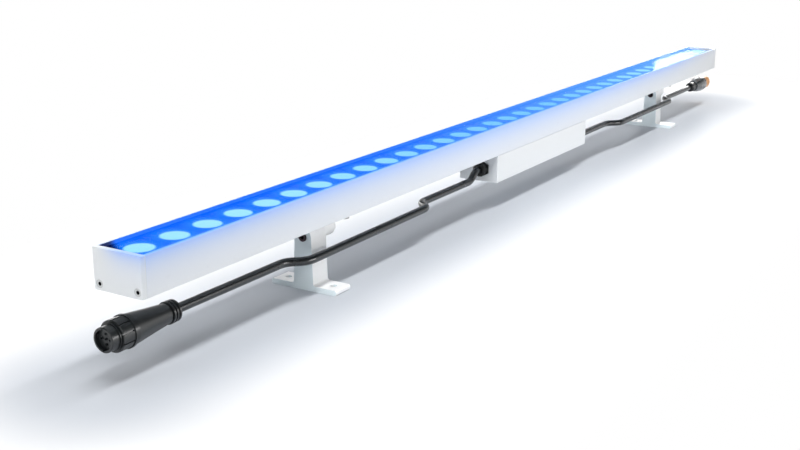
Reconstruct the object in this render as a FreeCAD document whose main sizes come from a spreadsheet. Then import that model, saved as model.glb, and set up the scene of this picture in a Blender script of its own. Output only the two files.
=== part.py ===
import FreeCAD, Part
import math
import os

import Sketcher

# Outdoor wall washer light: a long LED channel on two tilting brackets, fed through two leads.
# Millimetres. +X runs along the channel, -Y is the front, +Z is up.
# The origin is on the ground, under the middle of the channel.

Vector = FreeCAD.Vector
document = FreeCAD.newDocument("WallWasher")

sizes = {
    # channel profile
    "profileLength": 1200.0,
    "profileWidth": 42.0,
    "profileHeight": 29.0,
    "profileWall": 1.8,
    "profileFloor": 2.2,
    "shelfThick": 2.5,
    "edgeBreak": 0.5,
    "groundClearance": 55.0,
    "ledgeReach": 2.0,
    "ledgeThick": 1.6,
    "portInset": 4.4,
    "portWall": 1.3,
    # end plates and their fixings
    "endPlateThick": 3.5,
    "endGasketThick": 0.5,
    "gasketInset": 0.1,
    "endScrewRadius": 1.5,
    "endScrewLength": 16.0,
    "endScrewHeadRadius": 2.7,
    "endScrewHeadHeight": 1.8,
    "screwClearance": 0.15,
    "threadClearance": 0.03,
    "headClearance": 0.25,
    "keyDepthShare": 0.55,
    "keyFlatsShare": 1.4,
    "seatGap": 0.3,
    "spinGap": 0.3,
    "closeGap": 0.1,
    # cover
    "coverRecess": 0.4,
    "coverThick": 2.0,
    "coverGap": 0.3,
    "coverSealThick": 0.6,
    "coverSealWidth": 1.7,
    # light row
    "ledCount": 36.0,
    "boardCount": 4.0,
    "boardThick": 1.6,
    "boardGap": 0.6,
    "boardSideGap": 0.6,
    "chipSide": 3.5,
    "chipHeight": 1.8,
    "lensRadius": 11.0,
    "lensFootRadius": 4.4,
    "lensHeight": 9.0,
    "lensRim": 1.2,
    "lensRimStep": 0.8,
    "lensPocketRadius": 3.2,
    "lensPocketHeight": 3.2,
    "lensToCover": 0.6,
    "lensPlateThick": 1.2,
    "lensPlateGap": 0.2,
    "lensPlateSideGap": 0.4,
    "lensPostRadius": 1.6,
    "lensPostSpread": 24.0,
    "linkLength": 10.0,
    "linkWidth": 5.0,
    "linkHeight": 2.4,
    "linkOffset": 12.5,
    "boardScrewRadius": 1.5,
    "boardScrewLength": 6.0,
    "boardScrewHeadRadius": 2.6,
    "boardScrewHeadHeight": 1.6,
    # driver case
    "caseLength": 222.0,
    "caseDepth": 27.2,
    "caseWall": 2.0,
    "caseGasketThick": 0.5,
    "casePostRadius": 3.6,
    "casePostBite": 0.6,
    "caseScrewRadius": 1.5,
    "caseScrewGrip": 3.2,
    "caseScrewHeadRadius": 2.7,
    "caseScrewHeadHeight": 1.8,
    # driver
    "driverBoardEndGap": 7.4,
    "driverBoardSideGap": 2.5,
    "standoffHeight": 3.0,
    "standoffRadius": 2.4,
    "standoffSpanX": 150.0,
    "standoffSpanY": 25.0,
    "driverScrewRadius": 1.2,
    "driverScrewLength": 4.2,
    "driverScrewHeadRadius": 2.2,
    "driverScrewHeadHeight": 1.3,
    "transformerX": -31.0,
    "transformerLength": 30.0,
    "transformerWidth": 24.0,
    "transformerHeight": 14.0,
    "windingInset": 3.0,
    "windingHeight": 2.5,
    "capacitorRadius": 5.0,
    "capacitorHeight": 14.0,
    "chokeX": -62.0,
    "chokeInner": 4.0,
    "chokeOuter": 8.5,
    "chokeHeight": 7.0,
    "circuitChipThick": 1.6,
    "terminalLength": 10.0,
    "terminalWidth": 14.0,
    "feedTerminalWidth": 6.8,
    "feedTerminalHeight": 5.0,
    # feed from the driver to the light row
    "feedPitches": 2.0,
    "feedY": 7.8,
    "feedWireRadius": 0.7,
    "feedWireSpacing": 1.7,
    "feedWireSpare": 0.4,
    "grommetBore": 2.9,
    "grommetNeck": 4.4,
    "grommetFlange": 5.6,
    "grommetFlangeThick": 0.9,
    # leads and glands
    "leadRadius": 3.5,
    "leadY": -4.0,
    "leadHeight": 32.4,
    "leadEndDrop": 1.1,
    "leadJog": 13.5,
    "glandHeight": 40.5,
    "glandFlats": 14.0,
    "glandHexThick": 2.6,
    "glandThreadRadius": 6.0,
    "glandThreadInside": 4.6,
    "glandDomeRadius": 6.6,
    "glandDomeLength": 6.4,
    "glandDomeWall": 0.9,
    "glandDomeChamfer": 1.5,
    "glandSealLength": 3.4,
    "lockNutThick": 3.0,
    "lockNutFlats": 13.0,
    "tailLength": 21.0,
    "coreBared": 3.0,
    "coreRadius": 0.9,
    "coreSpacing": 2.1,
    # near connector, measured along its own axis from the lead
    "socketRibLength": 8.4,
    "socketRibCount": 3.0,
    "socketRibShare": 0.62,
    "socketRibSlope": 0.25,
    "socketRibRadius": 7.9,
    "socketRibGrowth": 0.1,
    "socketGrooveRadius": 6.6,
    "socketWaist": 24.75,
    "socketWaistRadius": 8.9,
    "socketCollarLength": 2.5,
    "socketBodyRadius": 7.3,
    "socketCollarRadius": 10.9,
    "socketBodyLength": 45.0,
    "socketShellRadius": 8.6,
    "socketShellBore": 6.9,
    "socketShellLength": 20.0,
    "socketMouthDepth": 3.0,
    "socketKeyWidth": 1.6,
    "socketKeyDepth": 0.7,
    "insertThick": 4.0,
    "contactStandOut": 0.6,
    "contactWall": 0.35,
    "rimChamfer": 0.5,
    "socketNutRadius": 11.0,
    "socketNutFlange": 11.7,
    "socketNutFlangeThick": 1.8,
    "socketNutLength": 12.0,
    "socketNutSlit": 0.9,
    "socketNutSlitDepth": 0.9,
    "socketNutSlitInset": 0.6,
    "socketStopRadius": 9.5,
    "socketStopThick": 1.0,
    "socketNutSlits": 10.0,
    "contactCircle": 3.6,
    "contactRadius": 1.0,
    "contactCount": 5.0,
    # far connector, measured along its own axis from the lead
    "plugNutLength": 14.0,
    "plugNutRadius": 6.4,
    "plugNeckRadius": 5.0,
    "plugCoreRadius": 6.2,
    "plugCoreLength": 40.0,
    "plugBellBack": 7.4,
    "plugBellFront": 10.9,
    "plugBellLength": 33.5,
    "plugBellWall": 1.0,
    "plugBellBackWall": 1.6,
    "plugBellMouth": 12.0,
    "plugBellTaper": 2.0,
    "plugBellRecesses": 6.0,
    "plugBellRecessWidth": 2.4,
    "plugBellRecessLength": 6.0,
    "plugBellRecessInset": 3.0,
    "plugBellRecessDepth": 0.55,
    "plugNutGrooves": 12.0,
    "plugNutGrooveWidth": 1.1,
    "plugNutGrooveDepth": 0.7,
    "plugNutGrooveInset": 2.0,
    "plugSleeveLength": 24.0,
    "plugSleeveOuter": 9.6,
    "plugSleeveInner": 8.1,
    "plugSleeveBack": 43.0,
    "pinRadius": 0.8,
    "pinStandOut": 8.0,
    # brackets
    "bracketInset": 203.5,
    "legLength": 20.0,
    "legTopHalf": 8.0,
    "legFootHalf": 9.4,
    "footHalf": 31.0,
    "footThick": 4.4,
    "footEdge": 1.1,
    "footCorner": 2.4,
    "footHoleSpacing": 44.0,
    "footHoleRadius": 2.75,
    "pivotDrop": 11.6,
    "pivotScrewRadius": 2.0,
    "pivotHeadRadius": 3.5,
    "pivotHeadHeight": 4.0,
    "pivotHeadSink": 3.2,
    "pivotBoreGap": 0.05,
    "pivotNutFlats": 7.0,
    "pivotNutThick": 3.2,
    "frictionWasherThick": 0.8,
    "frictionWasherRadius": 5.8,
    "plainWasherThick": 0.8,
    "plainWasherRadius": 4.5,
    "pivotScrewSpare": 1.4,
    # tilt arms
    "armPlateLength": 32.0,
    "armPlateWidth": 30.0,
    "armPlateThick": 3.0,
    "armLength": 15.0,
    "armHalf": 6.0,
    "armScrewInset": 7.5,
    "armScrewSpacing": 18.0,
    "armScrewRadius": 2.0,
    "armScrewHeadRadius": 3.8,
    "armScrewHeadHeight": 2.4,
    "armScrewSpare": 1.2,
    "armNutFlats": 7.0,
    "armNutThick": 3.2,
}

sheet = document.addObject("Spreadsheet::Sheet", "Sizes")
for row, (alias, value) in enumerate(sizes.items(), start=1):
    sheet.set(f"A{row}", alias)
    sheet.set(f"B{row}", str(value))
    sheet.setAlias(f"B{row}", alias)
document.recompute()


class Size(float):
    # A number together with the expression that gives it, so that a place worked out here
    # stays bound to the sheet's cells.

    def __new__(cls, value, text):
        made = float.__new__(cls, value)
        made.text = text
        return made

    def joined(self, value, left, sign, right):
        return Size(value, f"({textOf(left)} {sign} {textOf(right)})")

    def __add__(self, other):
        return self.joined(float(self) + float(other), self, "+", other)

    def __radd__(self, other):
        return self.joined(float(other) + float(self), other, "+", self)

    def __sub__(self, other):
        return self.joined(float(self) - float(other), self, "-", other)

    def __rsub__(self, other):
        return self.joined(float(other) - float(self), other, "-", self)

    def __mul__(self, other):
        return self.joined(float(self) * float(other), self, "*", other)

    def __rmul__(self, other):
        return self.joined(float(other) * float(self), other, "*", self)

    def __truediv__(self, other):
        return self.joined(float(self) / float(other), self, "/", other)

    def __neg__(self):
        return Size(-float(self), f"(0 - {self.text})")


def textOf(value):
    if isinstance(value, Size):
        return value.text
    return f"{float(value):.9g}"


class Sizes:
    pass


s = Sizes()
for alias in sizes:
    setattr(s, alias, Size(float(sheet.get(alias)), "Sizes." + alias))

# How far a cutting shape runs past what it cuts.
overcut = 1.0

# Places worked out from the sizes.
underside = s.groundClearance
barTop = underside + s.profileHeight
halfLength = s.profileLength / 2
halfWidth = s.profileWidth / 2
innerHalf = halfWidth - s.profileWall
lensTop = barTop - s.coverRecess - s.coverThick - s.lensToCover
boardTop = lensTop - s.lensHeight
shelfTop = boardTop - s.boardThick
shelfUnderside = shelfTop - s.shelfThick
chamberFloor = underside + s.profileFloor
coverUnderside = barTop - s.coverRecess - s.coverThick
ledgeTop = coverUnderside - s.coverSealThick
ledgeHalf = innerHalf - s.ledgeReach
portY = halfWidth - s.portInset
portZ = underside + s.portInset
portBore = s.endScrewRadius + s.threadClearance
portOuter = portBore + s.portWall
ledCount = int(s.ledCount)
boardCount = int(s.boardCount)
pitch = s.profileLength / s.ledCount
feedX = s.feedPitches * pitch
boardSpan = s.profileLength / s.boardCount
caseTop = underside - s.caseGasketThick
caseBottom = underside - s.caseDepth
caseHalf = s.caseLength / 2
casePostX = caseHalf - s.caseWall - s.casePostRadius + s.casePostBite
casePostY = halfWidth - s.caseWall - s.casePostRadius + s.casePostBite
driverBoardBottom = caseBottom + s.caseWall + s.standoffHeight
driverBoardTop = driverBoardBottom + s.boardThick
glandMouth = caseHalf + s.glandHexThick + s.glandDomeLength
nearLeadHeight = s.leadHeight - s.leadEndDrop
bracketReach = halfLength - s.bracketInset
pivotHeight = underside - s.pivotDrop
armStart = s.legLength / 2 + s.frictionWasherThick
armEnd = armStart + s.armLength
armScrewX = armStart + s.armPlateLength - s.armScrewInset

pieces = []


def bind(thing, **properties):
    for name, value in properties.items():
        path = name.replace("_", ".")
        if isinstance(value, Size):
            thing.setExpression(path, value.text)
        else:
            thing.setExpression(path, textOf(value))


def place(thing, x, y, z):
    bind(thing, Placement_Base_x=x, Placement_Base_y=y, Placement_Base_z=z)


def keep(thing, label):
    thing.Label = label
    pieces.append(thing)
    return thing


def originPart(body, role):
    for item in body.Origin.OriginFeatures:
        if item.Role == role:
            return item


def newBody(label):
    body = document.addObject("PartDesign::Body", label)
    body.Label = label
    return body


def sketchOn(body, role, offset=0.0):
    sketch = body.newObject("Sketcher::SketchObject", body.Name + "Sketch")
    sketch.AttachmentSupport = [(originPart(body, role), "")]
    sketch.MapMode = "FlatFace"
    bind(sketch, AttachmentOffset_Base_z=offset)
    return sketch


def pin(sketch, kind, geometry, point, value):
    index = sketch.addConstraint(Sketcher.Constraint(kind, geometry, point, float(value)))
    sketch.setExpression(f"Constraints[{index}]", textOf(value))


def outline(sketch, points):
    # a closed outline whose corners stand at the given places
    first = sketch.GeometryCount
    count = len(points)
    for index in range(count):
        start = points[index]
        end = points[(index + 1) % count]
        line = Part.LineSegment(Vector(start[0], start[1], 0), Vector(end[0], end[1], 0))
        sketch.addGeometry(line, False)
    for index in range(count):
        following = first + (index + 1) % count
        sketch.addConstraint(Sketcher.Constraint("Coincident", first + index, 2, following, 1))
    for index, (across, up) in enumerate(points):
        pin(sketch, "DistanceX", first + index, 1, across)
        pin(sketch, "DistanceY", first + index, 1, up)


def circles(sketch, centres, radius):
    for across, up in centres:
        circle = Part.Circle(Vector(across, up, 0), Vector(0, 0, 1), float(radius))
        index = sketch.addGeometry(circle, False)
        pin(sketch, "DistanceX", index, 3, across)
        pin(sketch, "DistanceY", index, 3, up)
        row = sketch.addConstraint(Sketcher.Constraint("Radius", index, float(radius)))
        sketch.setExpression(f"Constraints[{row}]", textOf(radius))


def pad(body, sketch, length):
    feature = body.newObject("PartDesign::Pad", body.Name + "Pad")
    feature.Profile = sketch
    bind(feature, Length=length)
    return feature


def pocket(body, sketch, length, forward):
    # forward cuts along the sketch's normal; without a length the cut goes right through
    feature = body.newObject("PartDesign::Pocket", body.Name + "Pocket")
    feature.Profile = sketch
    feature.Reversed = forward
    if length is None:
        feature.Type = "ThroughAll"
    else:
        bind(feature, Length=length)
    return feature


def turn(body, points):
    # a solid of revolution round the body's X axis from (along, radius) corners
    sketch = sketchOn(body, "XZ_Plane")
    outline(sketch, points)
    feature = body.newObject("PartDesign::Revolution", body.Name + "Turn")
    feature.Profile = sketch
    feature.ReferenceAxis = (sketch, ["H_Axis"])
    feature.Angle = 360.0
    return feature


def roundEdges(body, radius, wanted):
    # fillets the edges for which wanted(edge) is true
    document.recompute()
    tip = body.Tip
    names = []
    for index, edge in enumerate(tip.Shape.Edges, start=1):
        if wanted(edge):
            names.append(f"Edge{index}")
    feature = body.newObject("PartDesign::Fillet", body.Name + "Fillet")
    feature.Base = (tip, names)
    bind(feature, Radius=radius)
    return feature


def near(first, second):
    return abs(first - second) < 1e-6


turnTo = {
    "x": FreeCAD.Rotation(Vector(0, 1, 0), 90),
    "y": FreeCAD.Rotation(Vector(1, 0, 0), -90),
    "z": FreeCAD.Rotation(),
}


def block(name, low, span):
    # a box from its low corner
    made = document.addObject("Part::Box", name)
    bind(made, Length=span[0], Width=span[1], Height=span[2])
    place(made, *low)
    return made


def rod(name, start, radius, length, axis="z"):
    # a cylinder from the centre of its low end
    made = document.addObject("Part::Cylinder", name)
    bind(made, Radius=radius, Height=length)
    made.Placement.Rotation = turnTo[axis]
    place(made, *start)
    return made


def hexRod(name, start, flats, length, axis="z"):
    # a six-sided bar from the centre of its low end
    made = document.addObject("Part::Prism", name)
    made.Polygon = 6
    bind(made, Circumradius=flats / math.sqrt(3), Height=length)
    made.Placement.Rotation = turnTo[axis]
    place(made, *start)
    return made


def tube(name, start, inner, outer, length, axis="z"):
    # a ring or sleeve from the centre of its low end
    outside = rod(name + "Outside", start, outer, length, axis)
    return cut(name, outside, [rod(name + "Hole", start, inner, length, axis)])


def fuse(name, parts):
    made = document.addObject("Part::MultiFuse", name)
    made.Shapes = parts
    made.Refine = True
    return made


def cut(name, base, tools):
    made = document.addObject("Part::Cut", name)
    made.Base = base
    if len(tools) == 1:
        made.Tool = tools[0]
    else:
        made.Tool = fuse(name + "Tools", tools)
    return made


def setAt(label, template, places):
    # separate solids of one pattern, each at its own place
    document.recompute()
    shapes = []
    for spot in places:
        shape = template.Shape.copy()
        shape.Placement = spot.multiply(shape.Placement)
        shapes.append(shape)
    made = document.addObject("Part::Feature", label)
    made.Shape = shapes[0] if len(shapes) == 1 else Part.Compound(shapes)
    return keep(made, label)


def at(x, y, z, rotation=None):
    return FreeCAD.Placement(Vector(float(x), float(y), float(z)), rotation or FreeCAD.Rotation())


def screw(name, radius, length, headRadius, headHeight):
    # stands on its tip along +Z: the underside of the head is at z = 0
    shank = rod(name + "Shank", (0, 0, -length), radius, length + headHeight / 2)
    head = rod(name + "Head", (0, 0, 0), headRadius, headHeight)
    keyDepth = headHeight * s.keyDepthShare
    key = hexRod(name + "Key", (0, 0, headHeight - keyDepth), radius * s.keyFlatsShare, headHeight)
    return cut(name, fuse(name + "Blank", [head, shank]), [key])


def nut(name, flats, thick, bore):
    body = hexRod(name + "Body", (0, 0, 0), flats, thick)
    hole = rod(name + "Bore", (0, 0, -overcut), bore, thick + 2 * overcut)
    return cut(name, body, [hole])


# Channel profile


def channelCorners(inset):
    # the outer section with its broken edges, drawn in by an inset
    side = halfWidth - inset
    low = underside + inset
    high = barTop - inset
    edge = s.edgeBreak
    return [
        (-side + edge, low),
        (side - edge, low),
        (side, low + edge),
        (side, high - edge),
        (side - edge, high),
        (-side + edge, high),
        (-side, high - edge),
        (-side, low + edge),
    ]


def armScrewCentres():
    spots = []
    for side in (-1, 1):
        for half in (-0.5, 0.5):
            spots.append((side * bracketReach + armScrewX, half * s.armScrewSpacing))
    return spots


corners = ((-1, -1), (-1, 1), (1, -1), (1, 1))


def casePostCentres():
    return [(sideX * casePostX, sideY * casePostY) for sideX, sideY in corners]


def standoffCentres():
    return [(sideX * s.standoffSpanX / 2, sideY * s.standoffSpanY / 2) for sideX, sideY in corners]


def boardScrewCentres():
    spots = []
    for board in range(boardCount):
        middle = -halfLength + (board + 0.5) * boardSpan
        for step in (-2.5, 0.5, 2.5):
            spots.append((middle + step * pitch, 0.0))
    return spots


def makeProfile():
    body = newBody("housing_profile")
    edge = s.edgeBreak
    right = [
        (halfWidth - edge, underside),
        (halfWidth, underside + edge),
        (halfWidth, barTop - edge),
        (halfWidth - edge, barTop),
        (innerHalf, barTop),
        (innerHalf, ledgeTop),
        (ledgeHalf, ledgeTop),
        (ledgeHalf, ledgeTop - s.ledgeThick),
        (innerHalf, ledgeTop - s.ledgeThick),
        (innerHalf, shelfTop),
    ]
    left = [(-across, up) for across, up in reversed(right)]
    section = sketchOn(body, "YZ_Plane", -halfLength)
    outline(section, right + left)
    outline(section, [
        (-innerHalf, chamberFloor),
        (innerHalf, chamberFloor),
        (innerHalf, shelfUnderside),
        (-innerHalf, shelfUnderside),
    ])
    pad(body, section, s.profileLength)
    ports = sketchOn(body, "YZ_Plane", -halfLength)
    circles(ports, [(-portY, portZ), (portY, portZ)], portOuter)
    pad(body, ports, s.profileLength)
    bores = sketchOn(body, "YZ_Plane", -halfLength)
    circles(bores, [(-portY, portZ), (portY, portZ)], portBore)
    pocket(body, bores, None, True)
    armHoles = sketchOn(body, "XY_Plane", underside)
    circles(armHoles, armScrewCentres(), s.armScrewRadius + s.screwClearance)
    pocket(body, armHoles, s.profileFloor, True)
    caseHoles = sketchOn(body, "XY_Plane", underside)
    circles(caseHoles, casePostCentres(), s.caseScrewRadius + s.threadClearance)
    pocket(body, caseHoles, s.portInset, True)
    feedHole = sketchOn(body, "XY_Plane", underside)
    circles(feedHole, [(feedX, s.feedY)], s.grommetNeck + s.threadClearance)
    pocket(body, feedHole, s.profileFloor, True)
    shelfHoles = sketchOn(body, "XY_Plane", shelfTop)
    circles(shelfHoles, boardScrewCentres(), s.boardScrewRadius + s.threadClearance)
    circles(shelfHoles, [(feedX, s.feedY)], s.grommetBore)
    pocket(body, shelfHoles, s.shelfThick, False)
    keep(body, "housing_profile")


def makeEnds():
    endScrews = []
    gasketFace = halfLength + s.endGasketThick
    outerFace = gasketFace + s.endPlateThick
    sink = s.endScrewHeadHeight + s.headClearance
    for side, word in ((-1, "near"), (1, "far")):
        seal = newBody("end_gasket_" + word)
        section = sketchOn(seal, "YZ_Plane", halfLength if side > 0 else -gasketFace)
        outline(section, channelCorners(s.gasketInset))
        circles(section, [(-portY, portZ), (portY, portZ)], s.endScrewRadius + s.screwClearance)
        pad(seal, section, s.endGasketThick)
        keep(seal, "end_gasket_" + word)

        plate = newBody("end_plate_" + word)
        section = sketchOn(plate, "YZ_Plane", gasketFace if side > 0 else -outerFace)
        outline(section, channelCorners(0.0 * s.gasketInset))
        circles(section, [(-portY, portZ), (portY, portZ)], s.endScrewRadius + s.screwClearance)
        pad(plate, section, s.endPlateThick)
        sinks = sketchOn(plate, "YZ_Plane", side * outerFace)
        circles(sinks, [(-portY, portZ), (portY, portZ)], s.endScrewHeadRadius + s.headClearance)
        pocket(plate, sinks, sink, side < 0)
        keep(plate, "end_plate_" + word)

        facing = FreeCAD.Rotation(Vector(0, 1, 0), 90 * side)
        for across in (-1, 1):
            endScrews.append(at(side * (outerFace - sink), across * portY, portZ, facing))
    template = screw("endScrew", s.endScrewRadius, s.endScrewLength,
                     s.endScrewHeadRadius, s.endScrewHeadHeight)
    setAt("end_plate_screws", template, endScrews)


def makeCover():
    half = innerHalf - s.coverGap
    reach = halfLength - s.coverGap
    glass = block("cover_lens", (-reach, -half, coverUnderside), (2 * reach, 2 * half, s.coverThick))
    keep(glass, "cover_lens")
    strips = []
    for side, low in ((-1, -innerHalf + s.coverGap), (1, innerHalf - s.coverGap - s.coverSealWidth)):
        span = (2 * reach, s.coverSealWidth, s.coverSealThick)
        strips.append(block(f"coverSeal{side + 1}", (-reach, low, ledgeTop), span))
    seals = document.addObject("Part::Compound", "cover_seals")
    seals.Links = strips
    keep(seals, "cover_seals")


# Light row


def makeLightRow():
    boardLength = boardSpan - s.boardGap
    boardHalf = innerHalf - s.boardSideGap
    boardShapes = []
    plateShapes = []
    postX = 3.5 * pitch
    plateHalf = ledgeHalf - s.lensPlateSideGap
    plateLow = lensTop - s.lensPlateThick
    for board in range(boardCount):
        middle = -halfLength + (board + 0.5) * boardSpan
        low = middle - boardLength / 2
        blank = block(f"boardBlank{board}", (low, -boardHalf, shelfTop),
                      (boardLength, 2 * boardHalf, s.boardThick))
        drill = s.boardThick + 2 * overcut
        holes = [rod(f"boardFeed{board}", (feedX, s.feedY, shelfTop - overcut), s.grommetBore, drill)]
        for index, (x, y) in enumerate(boardScrewCentres()[3 * board:3 * board + 3]):
            holes.append(rod(f"boardHole{board}x{index}", (x, y, shelfTop - overcut),
                             s.boardScrewRadius + s.screwClearance, drill))
        boardShapes.append(cut(f"board{board}", blank, holes))

        sheetBlank = block(f"plateBlank{board}", (low, -plateHalf, plateLow),
                           (boardLength, 2 * plateHalf, s.lensPlateThick))
        posts = []
        for index, (sideX, sideY) in enumerate(corners):
            spot = (middle + sideX * postX, sideY * s.lensPostSpread / 2, boardTop)
            posts.append(rod(f"platePost{board}x{index}", spot, s.lensPostRadius, lensTop - boardTop))
        eyes = []
        for index in range(ledCount // boardCount):
            x = middle - boardSpan / 2 + (index + 0.5) * pitch
            eyes.append(rod(f"plateEye{board}x{index}", (x, 0, plateLow - overcut),
                            s.lensRadius + s.lensPlateGap, s.lensPlateThick + 2 * overcut))
        plateShapes.append(cut(f"lensPlate{board}", fuse(f"plateBody{board}", [sheetBlank] + posts), eyes))
    boards = document.addObject("Part::Compound", "led_boards")
    boards.Links = boardShapes
    keep(boards, "led_boards")
    plates = document.addObject("Part::Compound", "lens_plates")
    plates.Links = plateShapes
    keep(plates, "lens_plates")

    lens = newBody("lensPattern")
    section = sketchOn(lens, "XZ_Plane")
    rimLow = s.lensHeight - s.lensRim
    outline(section, [
        (s.lensPocketRadius, 0.0 * s.lensRim),
        (s.lensFootRadius, 0.0 * s.lensRim),
        (s.lensRadius - s.lensRimStep, rimLow),
        (s.lensRadius, rimLow),
        (s.lensRadius, s.lensHeight),
        (0.0 * s.lensRim, s.lensHeight),
        (0.0 * s.lensRim, s.lensPocketHeight),
        (s.lensPocketRadius, s.lensPocketHeight),
    ])
    feature = lens.newObject("PartDesign::Revolution", "lensTurn")
    feature.Profile = section
    feature.ReferenceAxis = (section, ["V_Axis"])
    feature.Angle = 360.0
    spots = [-halfLength + (index + 0.5) * pitch for index in range(ledCount)]
    setAt("collimator_lenses", lens, [at(x, 0, boardTop) for x in spots])
    side = s.chipSide
    chip = block("chipPattern", (-side / 2, -side / 2, 0.0 * side), (side, side, s.chipHeight))
    setAt("led_chips", chip, [at(x, 0, boardTop) for x in spots])

    link = block("linkPattern", (-s.linkLength / 2, -s.linkWidth / 2, 0.0 * s.linkWidth),
                 (s.linkLength, s.linkWidth, s.linkHeight))
    joints = [-halfLength + (index + 1) * boardSpan for index in range(boardCount - 1)]
    setAt("board_links", link, [at(x, s.linkOffset, boardTop) for x in joints])

    fixing = screw("boardScrew", s.boardScrewRadius, s.boardScrewLength,
                   s.boardScrewHeadRadius, s.boardScrewHeadHeight)
    setAt("board_screws", fixing, [at(x, y, boardTop) for x, y in boardScrewCentres()])


# Driver case and what it holds


def caseCorners(inset):
    halfX = caseHalf - inset
    halfY = halfWidth - inset
    return [(-halfX, -halfY), (halfX, -halfY), (halfX, halfY), (-halfX, halfY)]


def makeCase():
    body = newBody("driver_case")
    base = sketchOn(body, "XY_Plane", caseBottom)
    outline(base, caseCorners(0.0 * s.caseWall))
    pad(body, base, caseTop - caseBottom)
    hollow = sketchOn(body, "XY_Plane", caseTop)
    outline(hollow, caseCorners(s.caseWall))
    pocket(body, hollow, caseTop - caseBottom - s.caseWall, False)
    posts = sketchOn(body, "XY_Plane", caseBottom)
    circles(posts, casePostCentres(), s.casePostRadius)
    pad(body, posts, caseTop - caseBottom)
    standoffs = sketchOn(body, "XY_Plane", caseBottom)
    circles(standoffs, standoffCentres(), s.standoffRadius)
    pad(body, standoffs, s.caseWall + s.standoffHeight)
    bores = sketchOn(body, "XY_Plane", caseBottom)
    circles(bores, casePostCentres(), s.caseScrewRadius + s.screwClearance)
    pocket(body, bores, None, True)
    sinks = sketchOn(body, "XY_Plane", caseBottom)
    circles(sinks, casePostCentres(), s.caseScrewHeadRadius + s.headClearance)
    pocket(body, sinks, s.caseScrewHeadHeight + s.headClearance, True)
    threads = sketchOn(body, "XY_Plane", driverBoardBottom)
    circles(threads, standoffCentres(), s.driverScrewRadius + s.threadClearance)
    pocket(body, threads, s.standoffHeight, False)
    entries = sketchOn(body, "YZ_Plane", -caseHalf)
    circles(entries, [(s.leadY, s.glandHeight)], s.glandThreadRadius + s.threadClearance)
    pocket(body, entries, None, True)

    def atCorner(line):
        box = line.BoundBox
        onEnd = near(abs(line.CenterOfMass.x), caseHalf) and near(box.XLength, 0)
        upright = near(box.YLength, 0) and near(box.ZLength, caseTop - caseBottom)
        along = near(box.ZMax, caseBottom) and near(abs(line.CenterOfMass.y), halfWidth)
        return (onEnd and upright) or (along and near(box.YLength, 0))

    roundEdges(body, s.edgeBreak, atCorner)
    keep(body, "driver_case")

    seal = newBody("case_gasket")
    ring = sketchOn(seal, "XY_Plane", caseTop)
    outline(ring, caseCorners(s.gasketInset))
    outline(ring, caseCorners(s.caseWall))
    pad(seal, ring, s.caseGasketThick)
    keep(seal, "case_gasket")

    headSeat = caseBottom + s.caseScrewHeadHeight + s.headClearance
    reach = underside + s.caseScrewGrip - headSeat
    template = screw("caseScrew", s.caseScrewRadius, reach, s.caseScrewHeadRadius, s.caseScrewHeadHeight)
    upside = FreeCAD.Rotation(Vector(1, 0, 0), 180)
    setAt("case_screws", template, [at(x, y, headSeat, upside) for x, y in casePostCentres()])


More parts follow.
